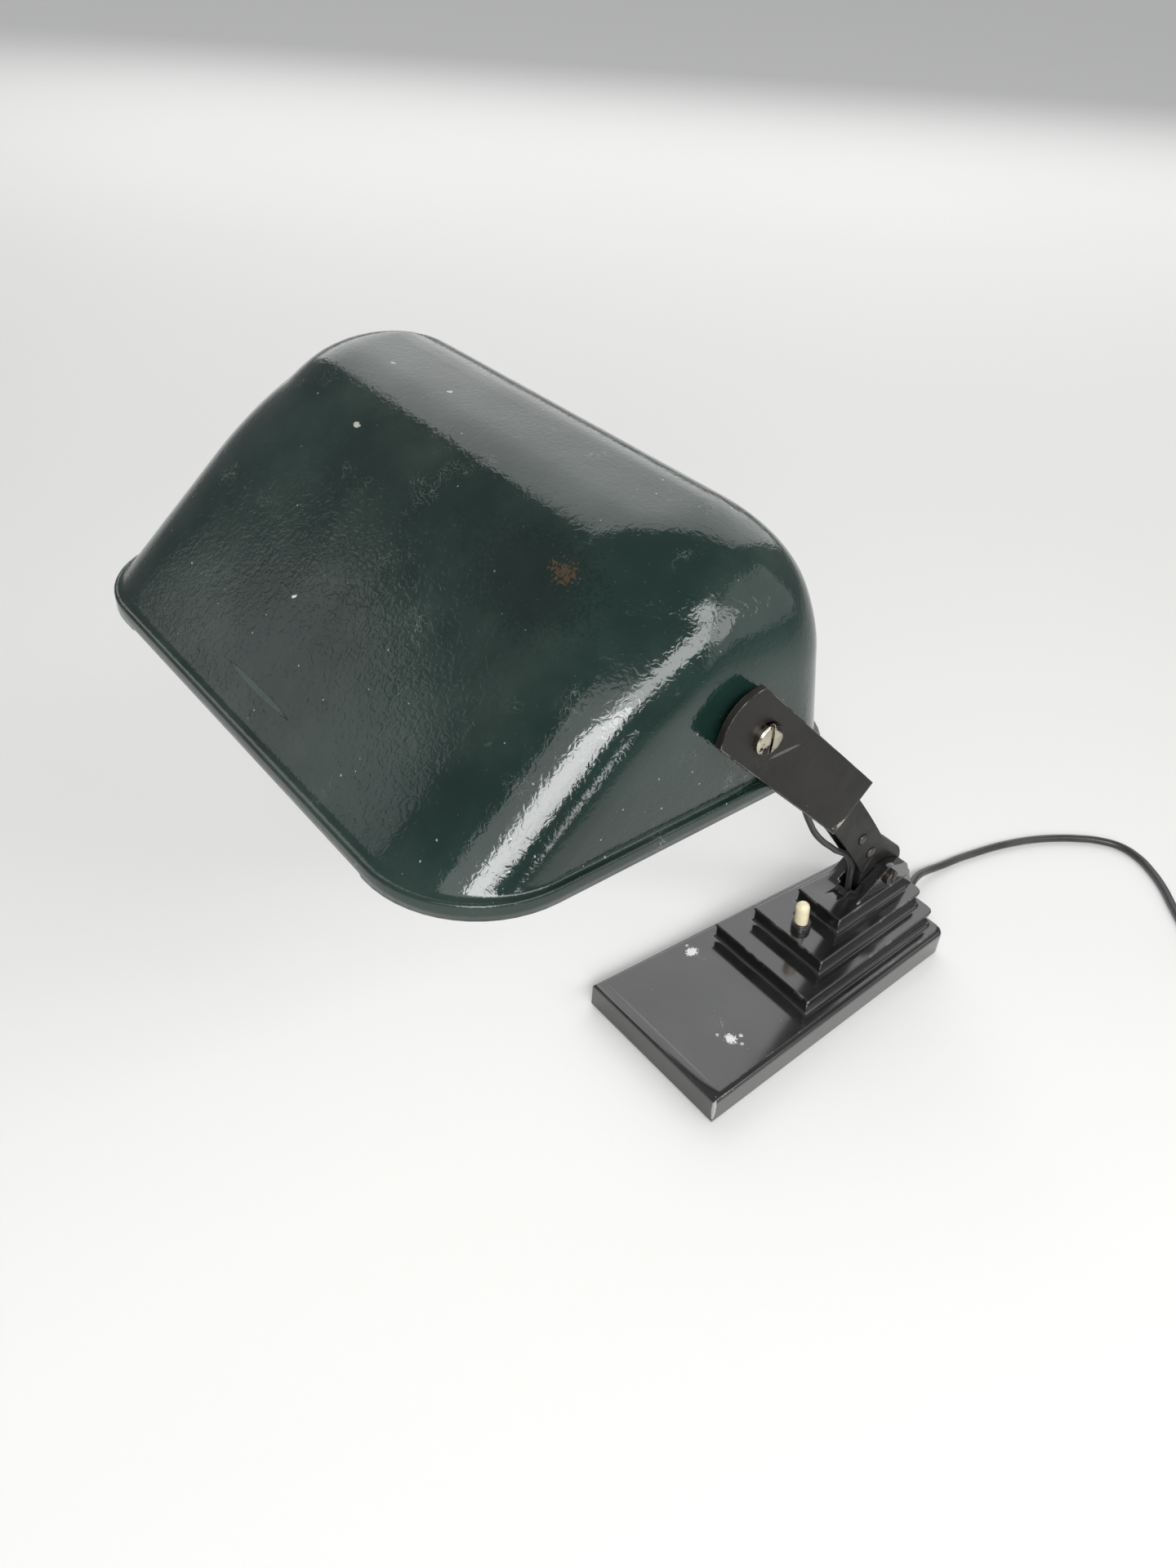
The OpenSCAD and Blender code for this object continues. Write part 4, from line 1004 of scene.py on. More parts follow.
@dataclass
class Studio:
    """Floor, sky, soft lights and the camera, in metres and degrees."""

    azimuth: float = 48.984
    elevation: float = 38.634
    roll: float = 3.92
    position: Point = (0.303425, -0.421732, 0.543031)
    lens: float = 28.57
    sensor: float = 36.0
    clip: Pair = (0.01, 50.0)
    world: float = 0.25
    sky: Colour = (0.96, 0.98, 1.0)
    floor_half: float = 40000.0
    softboxes: tuple[Softbox, ...] = (
        Softbox("key_softbox", (1.212, -1.073, 1.136), HEAD, (0.68, 0.66), 19.0, -12.0),
        Softbox("soft_window", (0.856, -1.244, 1.345), HEAD, (1.0, 1.1), 6.0, -10.0),
        Softbox("top_window", (1.247, -0.332, 1.451), HEAD, (1.3, 0.4), 13.0),
        Softbox("tail_window", (1.279, 0.471, 1.136), HEAD, (0.3, 0.6), 2.0, 35.0),
        Softbox("edge_strip", (1.66, -0.47, 0.5), HEAD, (0.1, 0.35), 0.9),
        Softbox("low_softbox", (-1.137, -1.176, 0.971), (0.03, -0.296, 0.32), (0.55, 0.34), 0.45),
        Softbox("side_bounce", (1.6, 1.45, 1.3), (0.0, -0.1, 0.25), (1.9, 1.5), 7.0),
        Softbox("wall_bounce", (-1.5, 1.3, 1.6), (0.0, 0.0, 0.25), (3.4, 2.5), 38.0),
    )

    def camera(self) -> None:
        """Places the camera."""
        az, el, roll = (math.radians(a) for a in (self.azimuth, self.elevation, self.roll))
        back = Vector((math.sin(az) * math.cos(el), -math.cos(az) * math.cos(el), math.sin(el)))
        right = (-back).cross(Vector((0, 0, 1))).normalized()
        up = right.cross(-back)
        turned_right = math.cos(roll) * right + math.sin(roll) * up
        turned_up = -math.sin(roll) * right + math.cos(roll) * up
        data = bpy.data.cameras.new("camera")
        data.lens, data.sensor_width, data.sensor_fit = self.lens, self.sensor, "AUTO"
        data.clip_start, data.clip_end = self.clip
        camera = bpy.data.objects.new("camera", data)
        axes = Matrix((turned_right, turned_up, back)).transposed().to_4x4()
        camera.matrix_world = Matrix.Translation(Vector(self.position)) @ axes
        bpy.context.scene.collection.objects.link(camera)
        bpy.context.scene.camera = camera

    def lights(self) -> None:
        """Places the sky and the soft lights."""
        scene = bpy.context.scene
        world = bpy.data.worlds.new("studio")
        scene.world = world
        world.use_nodes = True
        sky = world.node_tree.nodes["Background"]
        sky.inputs["Color"].default_value = rgba(self.sky)
        sky.inputs["Strength"].default_value = self.world
        for box in self.softboxes:
            data = bpy.data.lights.new(box.name, "AREA")
            data.shape, data.size, data.size_y, data.energy = "RECTANGLE", *box.size, box.power
            lamp = bpy.data.objects.new(box.name, data)
            lamp.location = box.place
            turn = (Vector(box.aim) - Vector(box.place)).to_track_quat("-Z", "Y")
            lamp.rotation_euler = (turn @ Quaternion((0.0, 0.0, 1.0), math.radians(box.roll))).to_euler()
            scene.collection.objects.link(lamp)
        scene.view_settings.view_transform = "Standard"

    def floor(self, paint: Paintbox) -> None:
        """Lays the pale floor.

        Args:
            paint: Where the materials come from.
        """
        bm = bmesh.new()
        bmesh.ops.create_grid(bm, x_segments=2, y_segments=2, size=self.floor_half)
        adopt("floor", bm, [Surface.FLOOR], paint, tidy=False)


# --------------------------------------------------------------- soft pieces


def smooth_curve(name: str, points: Sequence[Vector], diameter: float, paint: Paintbox, surface: Surface,
                 resolution: int = 6) -> bpy.types.Object:
    """Makes a round cord along points in millimetres.

    Args:
        name: The piece's name.
        points: Points on its centreline.
        diameter: Its thickness in millimetres.
        paint: Where the material comes from.
        surface: The finish.
        resolution: Cuts between neighbouring points.

    Returns:
        A curve of one open spline with closed ends.
    """
    data = bpy.data.curves.new(name, "CURVE")
    data.dimensions = "3D"
    data.bevel_depth = diameter / 2 * MM
    data.bevel_resolution = 5
    data.resolution_u = resolution
    data.use_fill_caps = True
    spline = data.splines.new("BEZIER")
    spline.bezier_points.add(len(points) - 1)
    for handle, point in zip(spline.bezier_points, points):
        handle.co = Vector(point) * MM
        handle.handle_left_type = handle.handle_right_type = "AUTO"
    data.materials.append(paint.get(surface))
    piece = bpy.data.objects.new(name, data)
    bpy.context.scene.collection.objects.link(piece)
    LOG.info("%s: %d points", name, len(points))
    return piece


def meshed(piece: bpy.types.Object) -> bpy.types.Object:
    """Makes a mesh of a curve and removes the curve.

    Args:
        piece: The curve.

    Returns:
        The mesh, under the curve's name.
    """
    bpy.context.view_layer.update()
    mesh = bpy.data.meshes.new_from_object(piece.evaluated_get(bpy.context.evaluated_depsgraph_get()))
    name, curve = piece.name, piece.data
    bpy.data.objects.remove(piece)
    bpy.data.curves.remove(curve)
    solid = bpy.data.objects.new(name, mesh)
    bpy.context.scene.collection.objects.link(solid)
    for polygon in mesh.polygons:
        polygon.use_smooth = True
    return solid


@dataclass
class MainsCord:
    """The mains cord: out of the base's back, across the table to a tied coil, and on to its plug."""

    diameter: float = 5.0
    route: tuple[Point, ...] = (
        (0, 100, 9), (0, 106, 9), (0, 116, 9), (-2.4, 122, 8.9), (-4.8, 128, 8.5), (-6.9, 136, 7.2), (-7.6, 145, 5.2),
        (-7.1, 154, 3.7), (-6, 164, 2.8), (-4.6, 175, 2.5), (-1.3, 190, 2.5), (2.4, 205, 2.5), (7.4, 220, 2.5),
        (13.4, 234, 2.5), (21, 247.3, 2.5), (30.3, 260, 2.5), (41, 271, 2.5), (53, 277.5, 2.5), (66, 277.5, 2.5),
        (80, 272.2, 2.5), (93.4, 264.2, 2.5), (106.2, 254, 2.5), (119, 244, 2.5), (132, 236, 2.5))
    tail: tuple[Point, ...] = (
        (196, 236.5, 2.5), (204, 241.5, 2.6), (211, 246.5, 3.6), (217, 252, 5.4), (221, 259, 6.7), (222.6, 266, 7),
        (223, 272.5, 7))
    coil_at: Pair = (165.0, 262.0)
    coil_start: float = -118.0
    coil_in: Pair = (38.4, 2.5)
    coil_rows: tuple[Pair, ...] = (
        (33, 2.5), (28, 2.5), (23, 2.5), (23, 7.5), (28, 7.5), (33, 7.5), (33, 12.5))
    coil_out: tuple[Point, ...] = ((0.0, 33.2, 12.5), (0.05, 35.8, 11.4), (0.1, 38.0, 8.2), (0.145, 38.6, 4.6))
    turn_points: int = 18
    crossover: float = 0.22
    outlet: Point = (0, 100, 9)
    plug_at: Point = (223, 273, 7)
    pin_gap: float = 9.5

    def around(self, turns_made: float, radius: float, height: float) -> Vector:
        """Returns the place on the coil after a number of turns."""
        angle = math.radians(self.coil_start) + 2 * math.pi * turns_made
        return Vector((self.coil_at[0] + radius * math.cos(angle), self.coil_at[1] + radius * math.sin(angle), height))

    def coil(self) -> list[Vector]:
        """Winds the coil.

        Returns:
            Points for each turn; a turn changes its radius and its layer over a short stretch of its start.
        """
        points = []
        before = self.coil_in
        for turn, row in enumerate(self.coil_rows):
            for step in range(self.turn_points):
                share = step / self.turn_points
                move = min(1.0, share / self.crossover)
                move = move * move * (3 - 2 * move)
                radius, height = (a + (b - a) * move for a, b in zip(before, row))
                points.append(self.around(turn + share, radius, height))
            before = row
        return points + [self.around(len(self.coil_rows) + share, *row) for share, *row in self.coil_out]

    def points(self) -> list[Vector]:
        """Returns the whole centreline."""
        return [Vector(p) for p in self.route] + self.coil() + [Vector(p) for p in self.tail]

    def build(self, paint: Paintbox) -> None:
        """Builds the cord with its relief, tie and plug.

        Args:
            paint: Where the materials come from.
        """
        points = self.points()
        cord = smooth_curve("mains_cord_run", points, self.diameter, paint, Surface.CORD)
        settle(cord, "base", "cord_grey", "mains_cord", "cord_coil", "cord_tail")
        with_cord = [self.plug(paint), self.pins(paint), self.tie(paint)]
        self.relief(paint)

    def relief(self, paint: Paintbox) -> None:
        """Builds the tapered strain relief in the base's back wall.

        Args:
            paint: Where the materials come from.
        """
        profile = [(2.56, -7.9), (4.4, -7.9), (4.4, 0.1), (5.6, 0.1), (5.7, 0.4), (5.7, 1.2), (5.4, 1.6)]
        for step in range(5):
            z, r = 1.8 + 2.9 * step, 4.3 - 0.21 * step
            profile += [(r, z), (r, z + 1.7), (r - 0.5, z + 1.95), (r - 0.5, z + 2.6)]
        profile += [(3.25, 15.6), (3.0, 16.0), (2.56, 16.0)]
        bm = spun(profile + [profile[0]], 40)
        lay_back(bm, self.outlet)
        settle(adopt("strain_relief", bm, [Surface.RUBBER], paint, 40), "base", "plug_black", "cord_relief")

    def plug(self, paint: Paintbox) -> bpy.types.Object:
        """Builds the plug's moulded body with finger grips.

        Args:
            paint: Where the materials come from.

        Returns:
            The piece.
        """
        at = Vector(self.plug_at)
        rings = []
        stations = [(0.2, 4.2, 3.9), (1.2, 4.9, 4.5), (4.0, 6.5, 4.9), (7.5, 9.4, 5.6), (11.0, 12.4, 6.2),
                    (14.0, 14.6, 6.7), (17.0, 15.2, 6.3), (18.5, 15.4, 6.75), (20.0, 15.6, 6.3), (21.5, 15.8, 6.75),
                    (23.0, 16.0, 6.3), (24.5, 16.2, 6.75), (27.0, 16.5, 6.75), (31.0, 16.8, 6.75), (35.0, 17.0, 6.75),
                    (35.9, 16.4, 6.2)]
        for y, half_x, half_z in stations:
            ring = []
            for step in range(32):
                angle = 2 * math.pi * step / 32
                c, s = math.cos(angle), math.sin(angle)
                ring.append(at + Vector((half_x * math.copysign(abs(c) ** 0.5, c), y,
                                         half_z * math.copysign(abs(s) ** 0.5, s))))
            rings.append(ring)
        piece = adopt("plug_moulding", loft(rings), [Surface.RUBBER], paint, 50)
        return settle(piece, "base", "plug_black", "plug_body")

    def pins(self, paint: Paintbox) -> bpy.types.Object:
        """Builds the plug's two round pins.

        Args:
            paint: Where the materials come from.

        Returns:
            The piece.
        """
        bm = bmesh.new()
        for side in (-self.pin_gap, self.pin_gap):
            pin = spun([(0.0, 0.0), (2.0, 0.0), (2.0, 17.6)] + arc((0, 18.0), 1.98, 0, 90, 6), 28)
            lay_back(pin, (self.plug_at[0] + side, self.plug_at[1] + 36.0, self.plug_at[2]))
            part = bpy.data.meshes.new("pin")
            pin.to_mesh(part)
            pin.free()
            bm.from_mesh(part)
            bpy.data.meshes.remove(part)
        return settle(adopt("plug_contacts", bm, [Surface.NICKEL], paint), "base", "nickel", "plug_pins")

    def tie(self, paint: Paintbox) -> bpy.types.Object:
        """Builds the band round the coil.

        Args:
            paint: Where the materials come from.

        Returns:
            The piece.
        """
        x, y = self.coil_at[0] + 28.0, self.coil_at[1]
        rings = []
        for across in (-2.6, -2.0, 2.0, 2.6):
            thin = 0.25 if abs(across) > 2.3 else 0.0
            rings.append([Vector((x + px * (8.1 - thin), y + across, 7.6 + pz * (7.75 - thin)))
                          for px, pz in self._rounded(0.86, 6)])
        outside = loft(rings, False, False)
        bmesh.ops.recalc_face_normals(outside, faces=outside.faces)
        piece = adopt("coil_tie_band", outside, [Surface.RUBBER], paint, 45)
        wall = piece.modifiers.new("wall", "SOLIDIFY")
        wall.thickness, wall.offset = 0.3 * MM, -1.0
        return settle(piece, "base", "plug_black", "cord_tie")

    @staticmethod
    def _rounded(flat: float, steps: int) -> list[Pair]:
        """Draws a square of half side 1 with round corners.

        Args:
            flat: The half length of its straight sides.
            steps: Steps in each corner.

        Returns:
            The points of the outline.
        """
        points = []
        for quarter, (sx, sy) in enumerate(((1, 1), (-1, 1), (-1, -1), (1, -1))):
            points += arc((sx * flat, sy * flat), 1 - flat, 90 * quarter, 90 * quarter + 90, steps)
        return points


@dataclass
class Flexes:
    """The lamp flex: a slack loop at the hinge, a run in the arm, and a slack loop at the shade."""

    diameter: float = 3.6
    hinge_loop: tuple[Pair, ...] = (
        (49.2, 33.5), (49.2, 44.5), (48.4, 51.5), (47.8, 58.5), (46.9, 66), (43.6, 73.5), (38.8, 80.2), (33, 85.2),
        (27.6, 89.4), (22.6, 94.3), (13.8, 103), (4.7, 114), (-1.4, 123.9), (-5.8, 131.7), (-10.5, 141.5),
        (-15.6, 152), (-20.4, 165.6))
    head_loop: tuple[Point, ...] = (
        (0, -130.9, 269.6), (0, -141, 264), (-2, -152, 260.5), (-5, -162, 263.5), (-9, -169, 273), (-15, -172.5, 287),
        (-24, -175, 303), (-34, -178, 318), (-47, -182, 330), (-60, -191.8, 339.7), (-64, -196.8, 345.2),
        (-59, -198.8, 346.7), (-52.2, -198.8, 346.7))

    def build(self, paint: Paintbox) -> None:
        """Builds both loops and the run in the arm.

        Args:
            paint: Where the materials come from.
        """
        loop = self.loop("flex_at_hinge", "hinge_flex", [(0.0, y, z) for y, z in self.hinge_loop], paint)
        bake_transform(loop)
        loop = self.loop("flex_at_shade", "head_flex", self.head_loop, paint)
        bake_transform(loop)
        merged_copy(Part("arm_flex", Surface.FLEX, "flex_black"), "arm", paint)

    def loop(self, name: str, node: str, points: Sequence[Point], paint: Paintbox) -> bpy.types.Object:
        """Builds one slack loop, which lies between two bodies and rides on neither.

        Args:
            name: The piece's name.
            node: The CAD node that it stands for.
            points: Points on its centreline.
            paint: Where the material comes from.

        Returns:
            The loop as a mesh.
        """
        loop = meshed(smooth_curve(name, [Vector(p) for p in points], self.diameter, paint, Surface.FLEX, 8))
        return settle(loop, None, "flex_black", node)


# --------------------------------------------------------------------- shade


@dataclass
class Shade:
    """The pressed loaf-shaped shade: body, flange and turned-down skirt, green outside and white inside."""

    length: float = 236.0
    depth: float = 149.3
    sheet: float = 1.0
    flange: float = 2.4
    skirt: float = 5.5
    skirt_front: float = 4.5
    trim_left: float = 73.0
    trim_right: float = 79.0
    tilt_back: float = 104.5
    tilt_y: float = -198.8
    flange_z: float = 314.4
    crease: Pair = (-21.4, 74.1)
    ridge: Pair = (29.3, 76.5)
    crease_r: float = 37.5
    ridge_r: float = 27.5
    front_r: float = 35.5
    back_r: float = 22.0
    end_r: float = 40.0
    cove: float = 1.3
    roll: float = 0.9
    skirt_mid: float = 3.2
    skirt_top: float = 1.1
    trim_step: float = 1.2
    rows: int = 54
    corner_steps: int = 14

    def __post_init__(self) -> None:
        """Works out the centres of the crease and the ridge."""
        front, back = Vector((-self.tilt_back, 0)), Vector((self.depth - self.tilt_back, 0))
        corners = [front, Vector(self.crease), Vector(self.ridge), back]
        self.corners = corners
        self.crease_centre = self._mitre(corners[0], corners[1], corners[2], self.crease_r)
        self.ridge_centre = self._mitre(corners[1], corners[2], corners[3], self.ridge_r)
        self.top = self.ridge_centre.y + self.ridge_r

    @staticmethod
    def _mitre(a: Vector, b: Vector, c: Vector, inset: float) -> Vector:
        """Returns the corner b moved in by inset from both of its sides."""
        n, m = (Vector(((q - p).y, -(q - p).x)).normalized() for p, q in ((a, b), (b, c)))
        return b + (n + m) * (inset / (1 + n.dot(m)))

    @staticmethod
    def _foot(a: Vector, b: Vector, p: Vector) -> float:
        """Returns the height of p's foot on the line a-b."""
        along = (b - a).normalized()
        return (a + along * (p - a).dot(along)).y

    @staticmethod
    def _line(a: Vector, b: Vector, z: float) -> float:
        """Returns the line's place at height z."""
        return a.x + (b.x - a.x) * (z - a.y) / (b.y - a.y)

    def front_at(self, z: float) -> float:
        """Finds the front of the pressing: the lower slope, the crease, the upper slope or the ridge.

        Args:
            z: The height above the flange.

        Returns:
            Its place front to back, from the tilt axis.
        """
        a, b, c, d = self.corners
        one, two = self.crease_centre, self.ridge_centre
        if z <= self._foot(a, b, one):
            return self._line(a, b, z)
        if z <= self._foot(b, c, one):
            return one.x - math.sqrt(max(0.0, self.crease_r ** 2 - (z - one.y) ** 2))
        if z <= self._foot(b, c, two):
            return self._line(b, c, z)
        return two.x - math.sqrt(max(0.0, self.ridge_r ** 2 - (z - two.y) ** 2))

    def back_at(self, z: float) -> float:
        """Finds the back of the pressing: the straight wall or the ridge.

        Args:
            z: The height above the flange.

        Returns:
            Its place front to back, from the tilt axis.
        """
        c, d, two = self.corners[2], self.corners[3], self.ridge_centre
        if z <= self._foot(c, d, two):
            return self._line(d, c, z)
        return two.x + math.sqrt(max(0.0, self.ridge_r ** 2 - (z - two.y) ** 2))

    def _corner(self, centre: Pair, radius: float, start: float, z: float) -> list[Point]:
        """Returns a quarter of a circle at height z, from an angle in degrees."""
        return [(x, y, z) for x, y in arc(centre, radius, start, start + 90, self.corner_steps)]

    def outline(self, x: float, front: float, back: float, front_r: float, back_r: float, z: float,
                trimmed: float | None = None) -> list[Vector]:
        """Makes one closed outline.

        Args:
            x: Half its length.
            front: Its front edge, from the tilt axis.
            back: Its back edge.
            front_r: Radius of its front corners.
            back_r: Radius of its back corners.
            z: Its height above the flange.
            trimmed: Height of the trimmed stretch along the front, where it has one.

        Returns:
            The points, from the left front corner round to the left back one.
        """
        low = z if trimmed is None else trimmed
        one, two = (min(r, (back - front) / 2, x) for r in (front_r, back_r))
        s1, s2 = min(self.trim_left, x - one), min(self.trim_right, x - one)
        side, step = back - two - front - one, self.trim_step
        points = self._corner((-x + one, front + one), one, 180, z)
        points += [(-s1, front, z)]
        points += [(-s1 + step + (s1 + s2 - 2 * step) * i / 10, front, low) for i in range(11)]
        points += [(s2, front, z)]
        points += self._corner((x - one, front + one), one, 270, z)
        points += [(x, front + one + side * i / 6, z) for i in range(1, 6)]
        points += self._corner((x - two, back - two), two, 0, z)
        points += [(x - two - 2 * (x - two) * i / 14, back, z) for i in range(1, 14)]
        points += self._corner((-x + two, back - two), two, 90, z)
        points += [(-x, back - two - side * i / 6, z) for i in range(1, 6)]
        return [Vector((px, py + self.tilt_y, pz + self.flange_z)) for px, py, pz in points]

    def rim(self, grow: float, z: float, trimmed: float | None = None) -> list[Vector]:
        """Returns an outline grown from the body's foot."""
        return self.outline(self.length / 2 - self.flange + grow, -self.tilt_back - grow,
                            self.depth - self.tilt_back + grow, self.front_r + grow, self.back_r + grow, z, trimmed)

    def body(self, z: float, grow: float = 0.0) -> list[Vector]:
        """Draws the body of the pressing.

        Args:
            z: The height above the flange.
            grow: How far the outline is grown by the fillet at the body's foot.

        Returns:
            The outline at that height.
        """
        over = max(0.0, z - (self.top - self.end_r))
        x = self.length / 2 - self.flange - self.end_r + math.sqrt(max(0.0, self.end_r ** 2 - over * over))
        return self.outline(x + grow, self.front_at(z) - grow, self.back_at(z) + grow, self.front_r + grow,
                            self.back_r + grow, z)

    def build(self, paint: Paintbox) -> None:
        """Builds the shade.

        Args:
            paint: Where the materials come from.
        """
        edge, roll, cove = self.flange, self.roll, self.cove
        rings = [self.rim(edge, -self.skirt, -self.skirt_front), self.rim(edge, -self.skirt_mid, -self.skirt_mid),
                 self.rim(edge, -self.skirt_top)]
        rings += [self.rim(grow, z) for grow, z in arc((edge - roll, -roll), roll, 0, 90, 4)[1:]]
        rings += [self.body(cove - cove * math.cos(math.radians(a)), cove - cove * math.sin(math.radians(a)))
                  for a in (0, 15, 30, 45, 60, 75, 90)]
        height = self.top - 0.06
        rings += [self.body(height * math.sin(math.radians(90 * k / self.rows))) for k in range(1, self.rows + 1)]
        bm = loft(rings, cap_start=False)
        piece = adopt("shade_pressing", bm, [Surface.SHADE_OUTSIDE, Surface.SHADE_INSIDE], paint, 50)
        wall = piece.modifiers.new("sheet", "SOLIDIFY")
        wall.thickness, wall.offset, wall.use_even_offset = self.sheet * MM, -1.0, True
        wall.material_offset, wall.material_offset_rim = 1, 0
        settle(piece, "shade", "shade_green", "shade_shell")


@dataclass
class Lampholder(Dressed):
    """What the shade carries inside: the bracket, the ceramic lampholder and its bulb, and the tilt hardware."""

    body: str = "shade"
    parts: tuple[Part, ...] = (
        Part("holder_bracket", Surface.STEEL, "zinc_tab", 0.2),
        Part("bracket_rivets", Surface.SHADE_OUTSIDE, "shade_green"),
        Part("holder_nipple", Surface.BRASS, "brass"),
        Part("holder_nuts", Surface.BRASS, "brass", 0.25),
        Part("holder_body", Surface.CERAMIC, "ceramic"),
        Part("holder_ring", Surface.BRASS, "brass"),
        Part("holder_contact", Surface.BRASS, "brass"),
        Part("bulb_cap", Surface.ALUMINIUM, "lamp_cap"),
        Part("bulb_glass", Surface.GLASS, "opal"),
        Part("tilt_screws", Surface.NICKEL, "nickel"),
        Part("tilt_washers", Surface.FIBRE, "fibre"),
        Part("tilt_nuts", Surface.STEEL, "screw_steel", 0.2),
        Part("tilt_plates", Surface.SHADE_INSIDE, "white_enamel", 0.2),
    )


# ------------------------------------------------------------- yoke and arm


@dataclass
class Yoke:
    """The bent strip that carries the shade."""

    width: float = 21.0
    thickness: float = 2.2
    leg: float = 70.0
    angle: float = 45.0
    tip: float = 19.0
    tip_r: float = 15.0
    bend_at: float = 13.0
    lean: float = 1.8
    inside: float = 119.5
    arm_end: Pair = (-149.3, 288.2)

    def rows(self) -> list[Point]:
        """Lists the strip's middle line on the right side.

        Returns:
            Place across, place up the leg and half width, from the middle of the cross strip to the tip.
        """
        half, t = self.width / 2, self.thickness
        turn_r, centre = 1.5 * t, (self.inside + self.lean - t, 1.5 * t)
        rows = [(centre[0] * i / 8, 0.0, half) for i in range(8)]
        rows += [(x, y, half) for x, y in arc(centre, turn_r, -90, 0, 6)]
        kink = self.leg - self.bend_at
        foot = (centre[0] + turn_r, centre[1])
        straight = self.inside + t / 2
        rows += [(foot[0] + (straight - foot[0]) * i / 6, foot[1] + (kink - foot[1]) * i / 6, half)
                 for i in range(1, 6)]
        rows += [(straight + 0.03, kink - 1.2, half), (straight, kink + 1.2, half), (straight, self.leg - 4, half)]
        tip_y = self.leg + self.tip - self.tip_r
        first = math.degrees(math.asin(half / self.tip_r))
        angles = [math.radians(first * (1 - i / 12) + 1.5 * i / 12) for i in range(13)]
        return rows + [(straight, tip_y + self.tip_r * math.cos(a), self.tip_r * math.sin(a)) for a in angles]

    def build(self, paint: Paintbox) -> None:
        """Builds the strip.

        Args:
            paint: Where the materials come from.
        """
        right = self.rows()
        rows = [(-x, y, half) for x, y, half in reversed(right[1:])] + right
        bm = bmesh.new()
        shares = (-1.0, -0.5, 0.0, 0.5, 1.0)
        lines = [[(x, y, half * share) for share in shares] for x, y, half in rows]
        verts, edges = open_line(bm, lines[0])
        for line in lines[1:]:
            verts, edges = draw_out(bm, verts, edges, line)
        place = Matrix.Translation((0, *self.arm_end)) @ Matrix.Rotation(math.radians(180 - self.angle), 4, "X")
        bmesh.ops.transform(bm, matrix=place, verts=bm.verts)
        piece = adopt("yoke_strip", bm, [Surface.YOKE], paint, 40)
        wall = piece.modifiers.new("thickness", "SOLIDIFY")
        wall.thickness, wall.offset, wall.use_even_offset = self.thickness * MM, 0.0, True
        rounding = piece.modifiers.new("rounding", "BEVEL")
        rounding.width, rounding.segments, rounding.limit_method = 0.3 * MM, 2, "ANGLE"
        rounding.angle_limit = math.radians(50)
        rounding.harden_normals = True
        settle(piece, "arm", "arm_paint", "yoke_strap")


@dataclass
class Arm(Dressed):
    """The curved channel arm with its knuckle, foot and fastenings."""

    body: str = "arm"
    parts: tuple[Part, ...] = (
        Part("arm_channel", Surface.ARM, "arm_paint"),
        Part("arm_knuckle", Surface.ARM, "arm_paint"),
        Part("arm_rivets", Surface.DARK_STEEL, "dark_rivet"),
        Part("arm_foot", Surface.ARM, "arm_paint", 0.3),
        Part("foot_screws", Surface.DARK_STEEL, "dark_rivet"),
        Part("foot_nuts", Surface.DARK_STEEL, "dark_rivet", 0.2),
        Part("flex_clip", Surface.ARM, "arm_paint"),
        Part("hinge_bush", Surface.BRASS, "brass"),
    )


# ---------------------------------------------------------------------- base


@dataclass
class Base(Dressed):
    """The stepped casting with its felt, plate and hinge hardware."""

    body: str = "base"
    parts: tuple[Part, ...] = (
        Part("base_casting", Surface.CASTING, "casting", sharp=40.0),
        Part("felt_pad", Surface.FELT, "felt"),
        Part("base_plate", Surface.PLATE, "plate_steel"),
        Part("base_plate_screws", Surface.STEEL, "screw_steel"),
        Part("slot_grommet", Surface.RUBBER, "fibre", 0.15),
        Part("hinge_screw", Surface.DARK_STEEL, "dark_rivet", 0.2),
        Part("hinge_nut", Surface.DARK_STEEL, "dark_rivet", 0.3),
        Part("hinge_washers", Surface.STEEL, "screw_steel"),
        Part("terminal_block", Surface.CERAMIC, "ceramic", 0.3),
    )


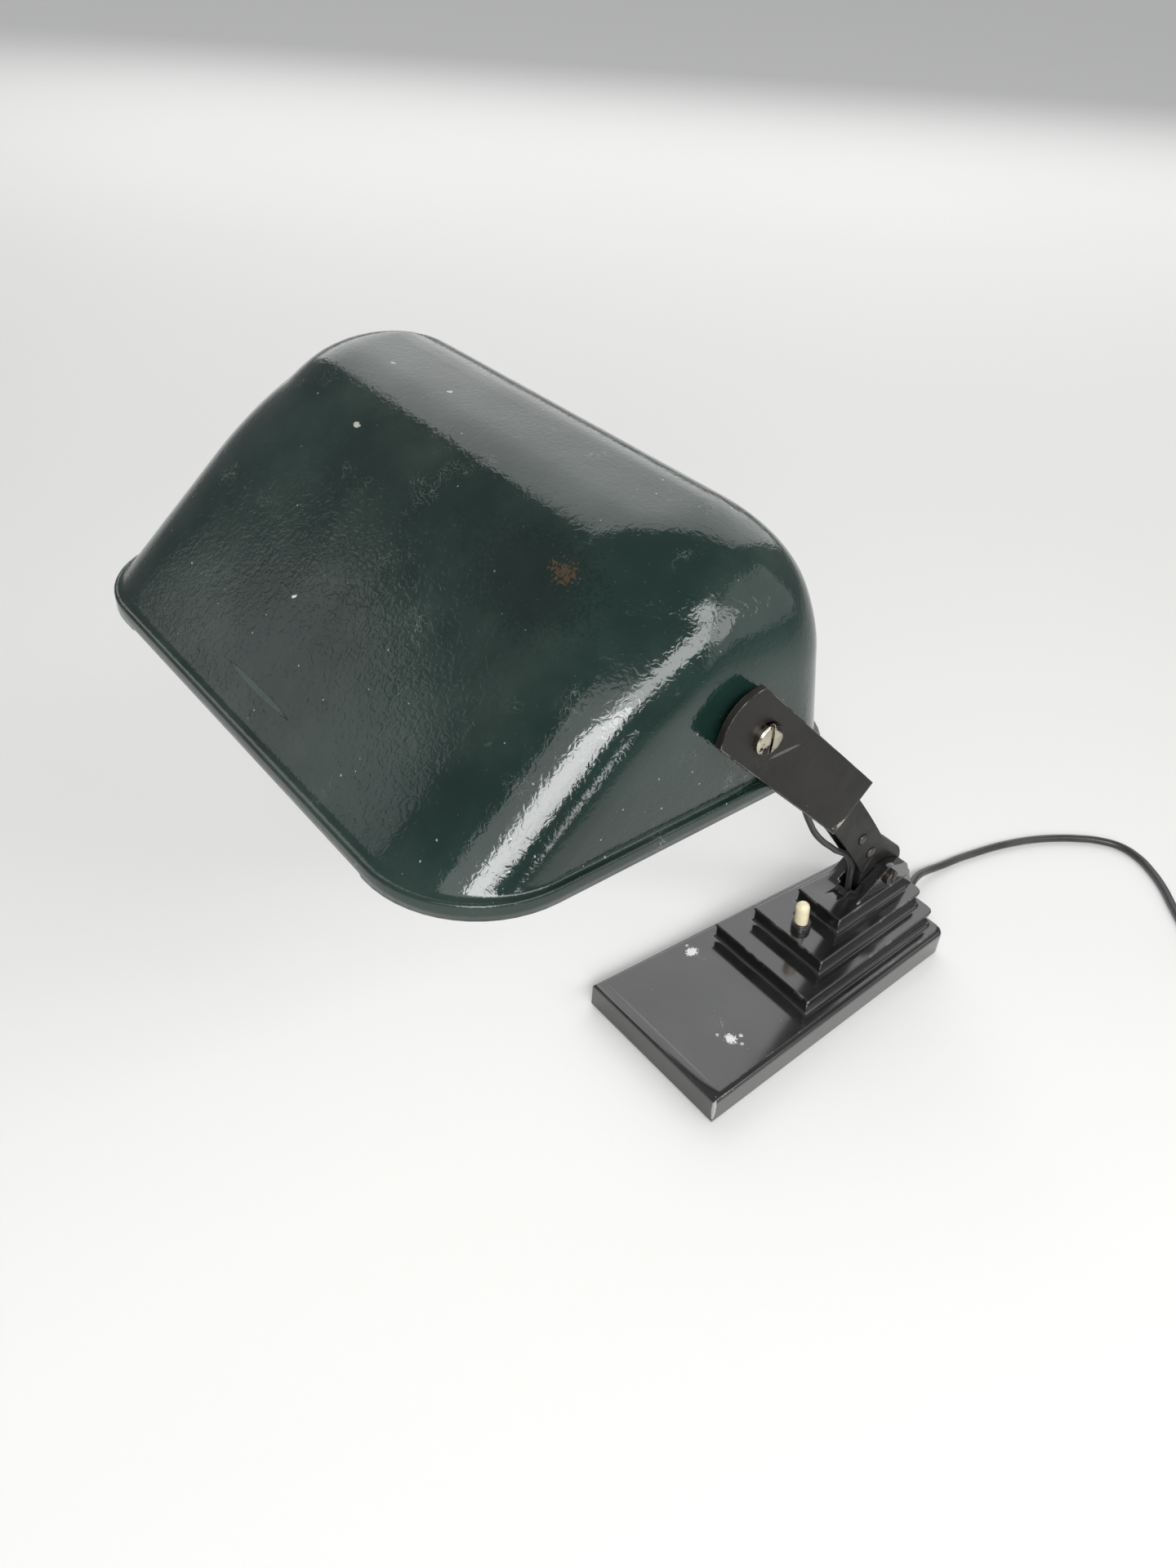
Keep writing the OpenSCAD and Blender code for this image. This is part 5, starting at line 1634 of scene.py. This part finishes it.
@dataclass
class PushSwitch:
    """The push-button switch on the second step."""

    y: float = 11.2
    step: float = 39.0
    collar: float = 4.6
    button: float = 8.0
    up: float = 14.4
    lean: float = 4.0
    pressed: float = 0.22
    foot: float = 31.0
    lean_axis: Point = (0.755, -0.656, 0.0)

    def build(self, paint: Paintbox) -> None:
        """Builds the collar and the button, and dresses what is hidden.

        Args:
            paint: Where the materials come from.
        """
        r = self.button / 2
        outer, top, hole = r + 1.8, r + 1.5, r + 0.85
        profile = [(hole, 0.02), (outer, 0.02), (outer - 0.02, 0.4), (top + 0.16, self.collar - 1.9),
                   (top + 0.16, self.collar - 1.7), (top - 0.1, self.collar - 1.5), (top - 0.1, self.collar - 1.3),
                   (top + 0.08, self.collar - 1.1), (top + 0.05, self.collar - 0.5)]
        profile += arc((top - 0.45, self.collar - 0.5), 0.5, 0, 90, 4)[1:]
        profile += [(hole + 0.1, self.collar), (hole, self.collar - 0.2)]
        bm = spun(profile + [profile[0]], 56)
        bmesh.ops.translate(bm, vec=(0, self.y, self.step), verts=bm.verts)
        settle(adopt("switch_collar_ring", bm, [Surface.COLLAR], paint, 40), "base", "collar_black", "switch_collar")
        cap = self.step + self.collar + self.up - r
        bm = spun([(0.0, self.foot), (r - 0.02, self.foot), (r, self.foot + 0.4)] + [(r, z) for z in (36.0, 42.0, 48.0)]
                  + arc((0, cap), r, 0, 90, 10), 48)
        pivot = Matrix.Translation((0, 0, self.step))
        lean = pivot @ Matrix.Rotation(math.radians(self.lean), 4, Vector(self.lean_axis)) @ pivot.inverted()
        above = [v for v in bm.verts if v.co.z > self.step]
        bmesh.ops.transform(bm, matrix=lean, verts=above)
        bmesh.ops.translate(bm, vec=(0, self.y, 0), verts=bm.verts)
        settle(adopt("push_button", bm, [Surface.IVORY], paint, 60), "button", "ivory", "switch_button")
        merged_copy(Part("switch_body", Surface.BAKELITE, "bakelite", 0.2), "base", paint)
        merged_copy(Part("switch_nut", Surface.BRASS, "brass", 0.2), "base", paint)
        spring = merged_copy(Part("switch_spring", Surface.STEEL, "screw_steel"), "base", paint)
        # The spring keeps no modifiers and gets a mesh of its own.
        spring.modifiers.clear()
        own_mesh(spring)


def main() -> None:
    """Builds the studio and the lamp."""
    logging.basicConfig(level=logging.INFO, format="%(message)s")
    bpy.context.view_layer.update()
    paint = Paintbox()
    studio = Studio()
    studio.camera()
    MainsCord().build(paint)
    Flexes().build(paint)
    studio.lights()
    studio.floor(paint)
    for part in (Shade(), Lampholder(), Yoke(), Arm(), Base(), PushSwitch()):
        part.build(paint)
        LOG.info("%s is done", type(part).__name__)


if __name__ == "__main__":
    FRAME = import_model()
    main()
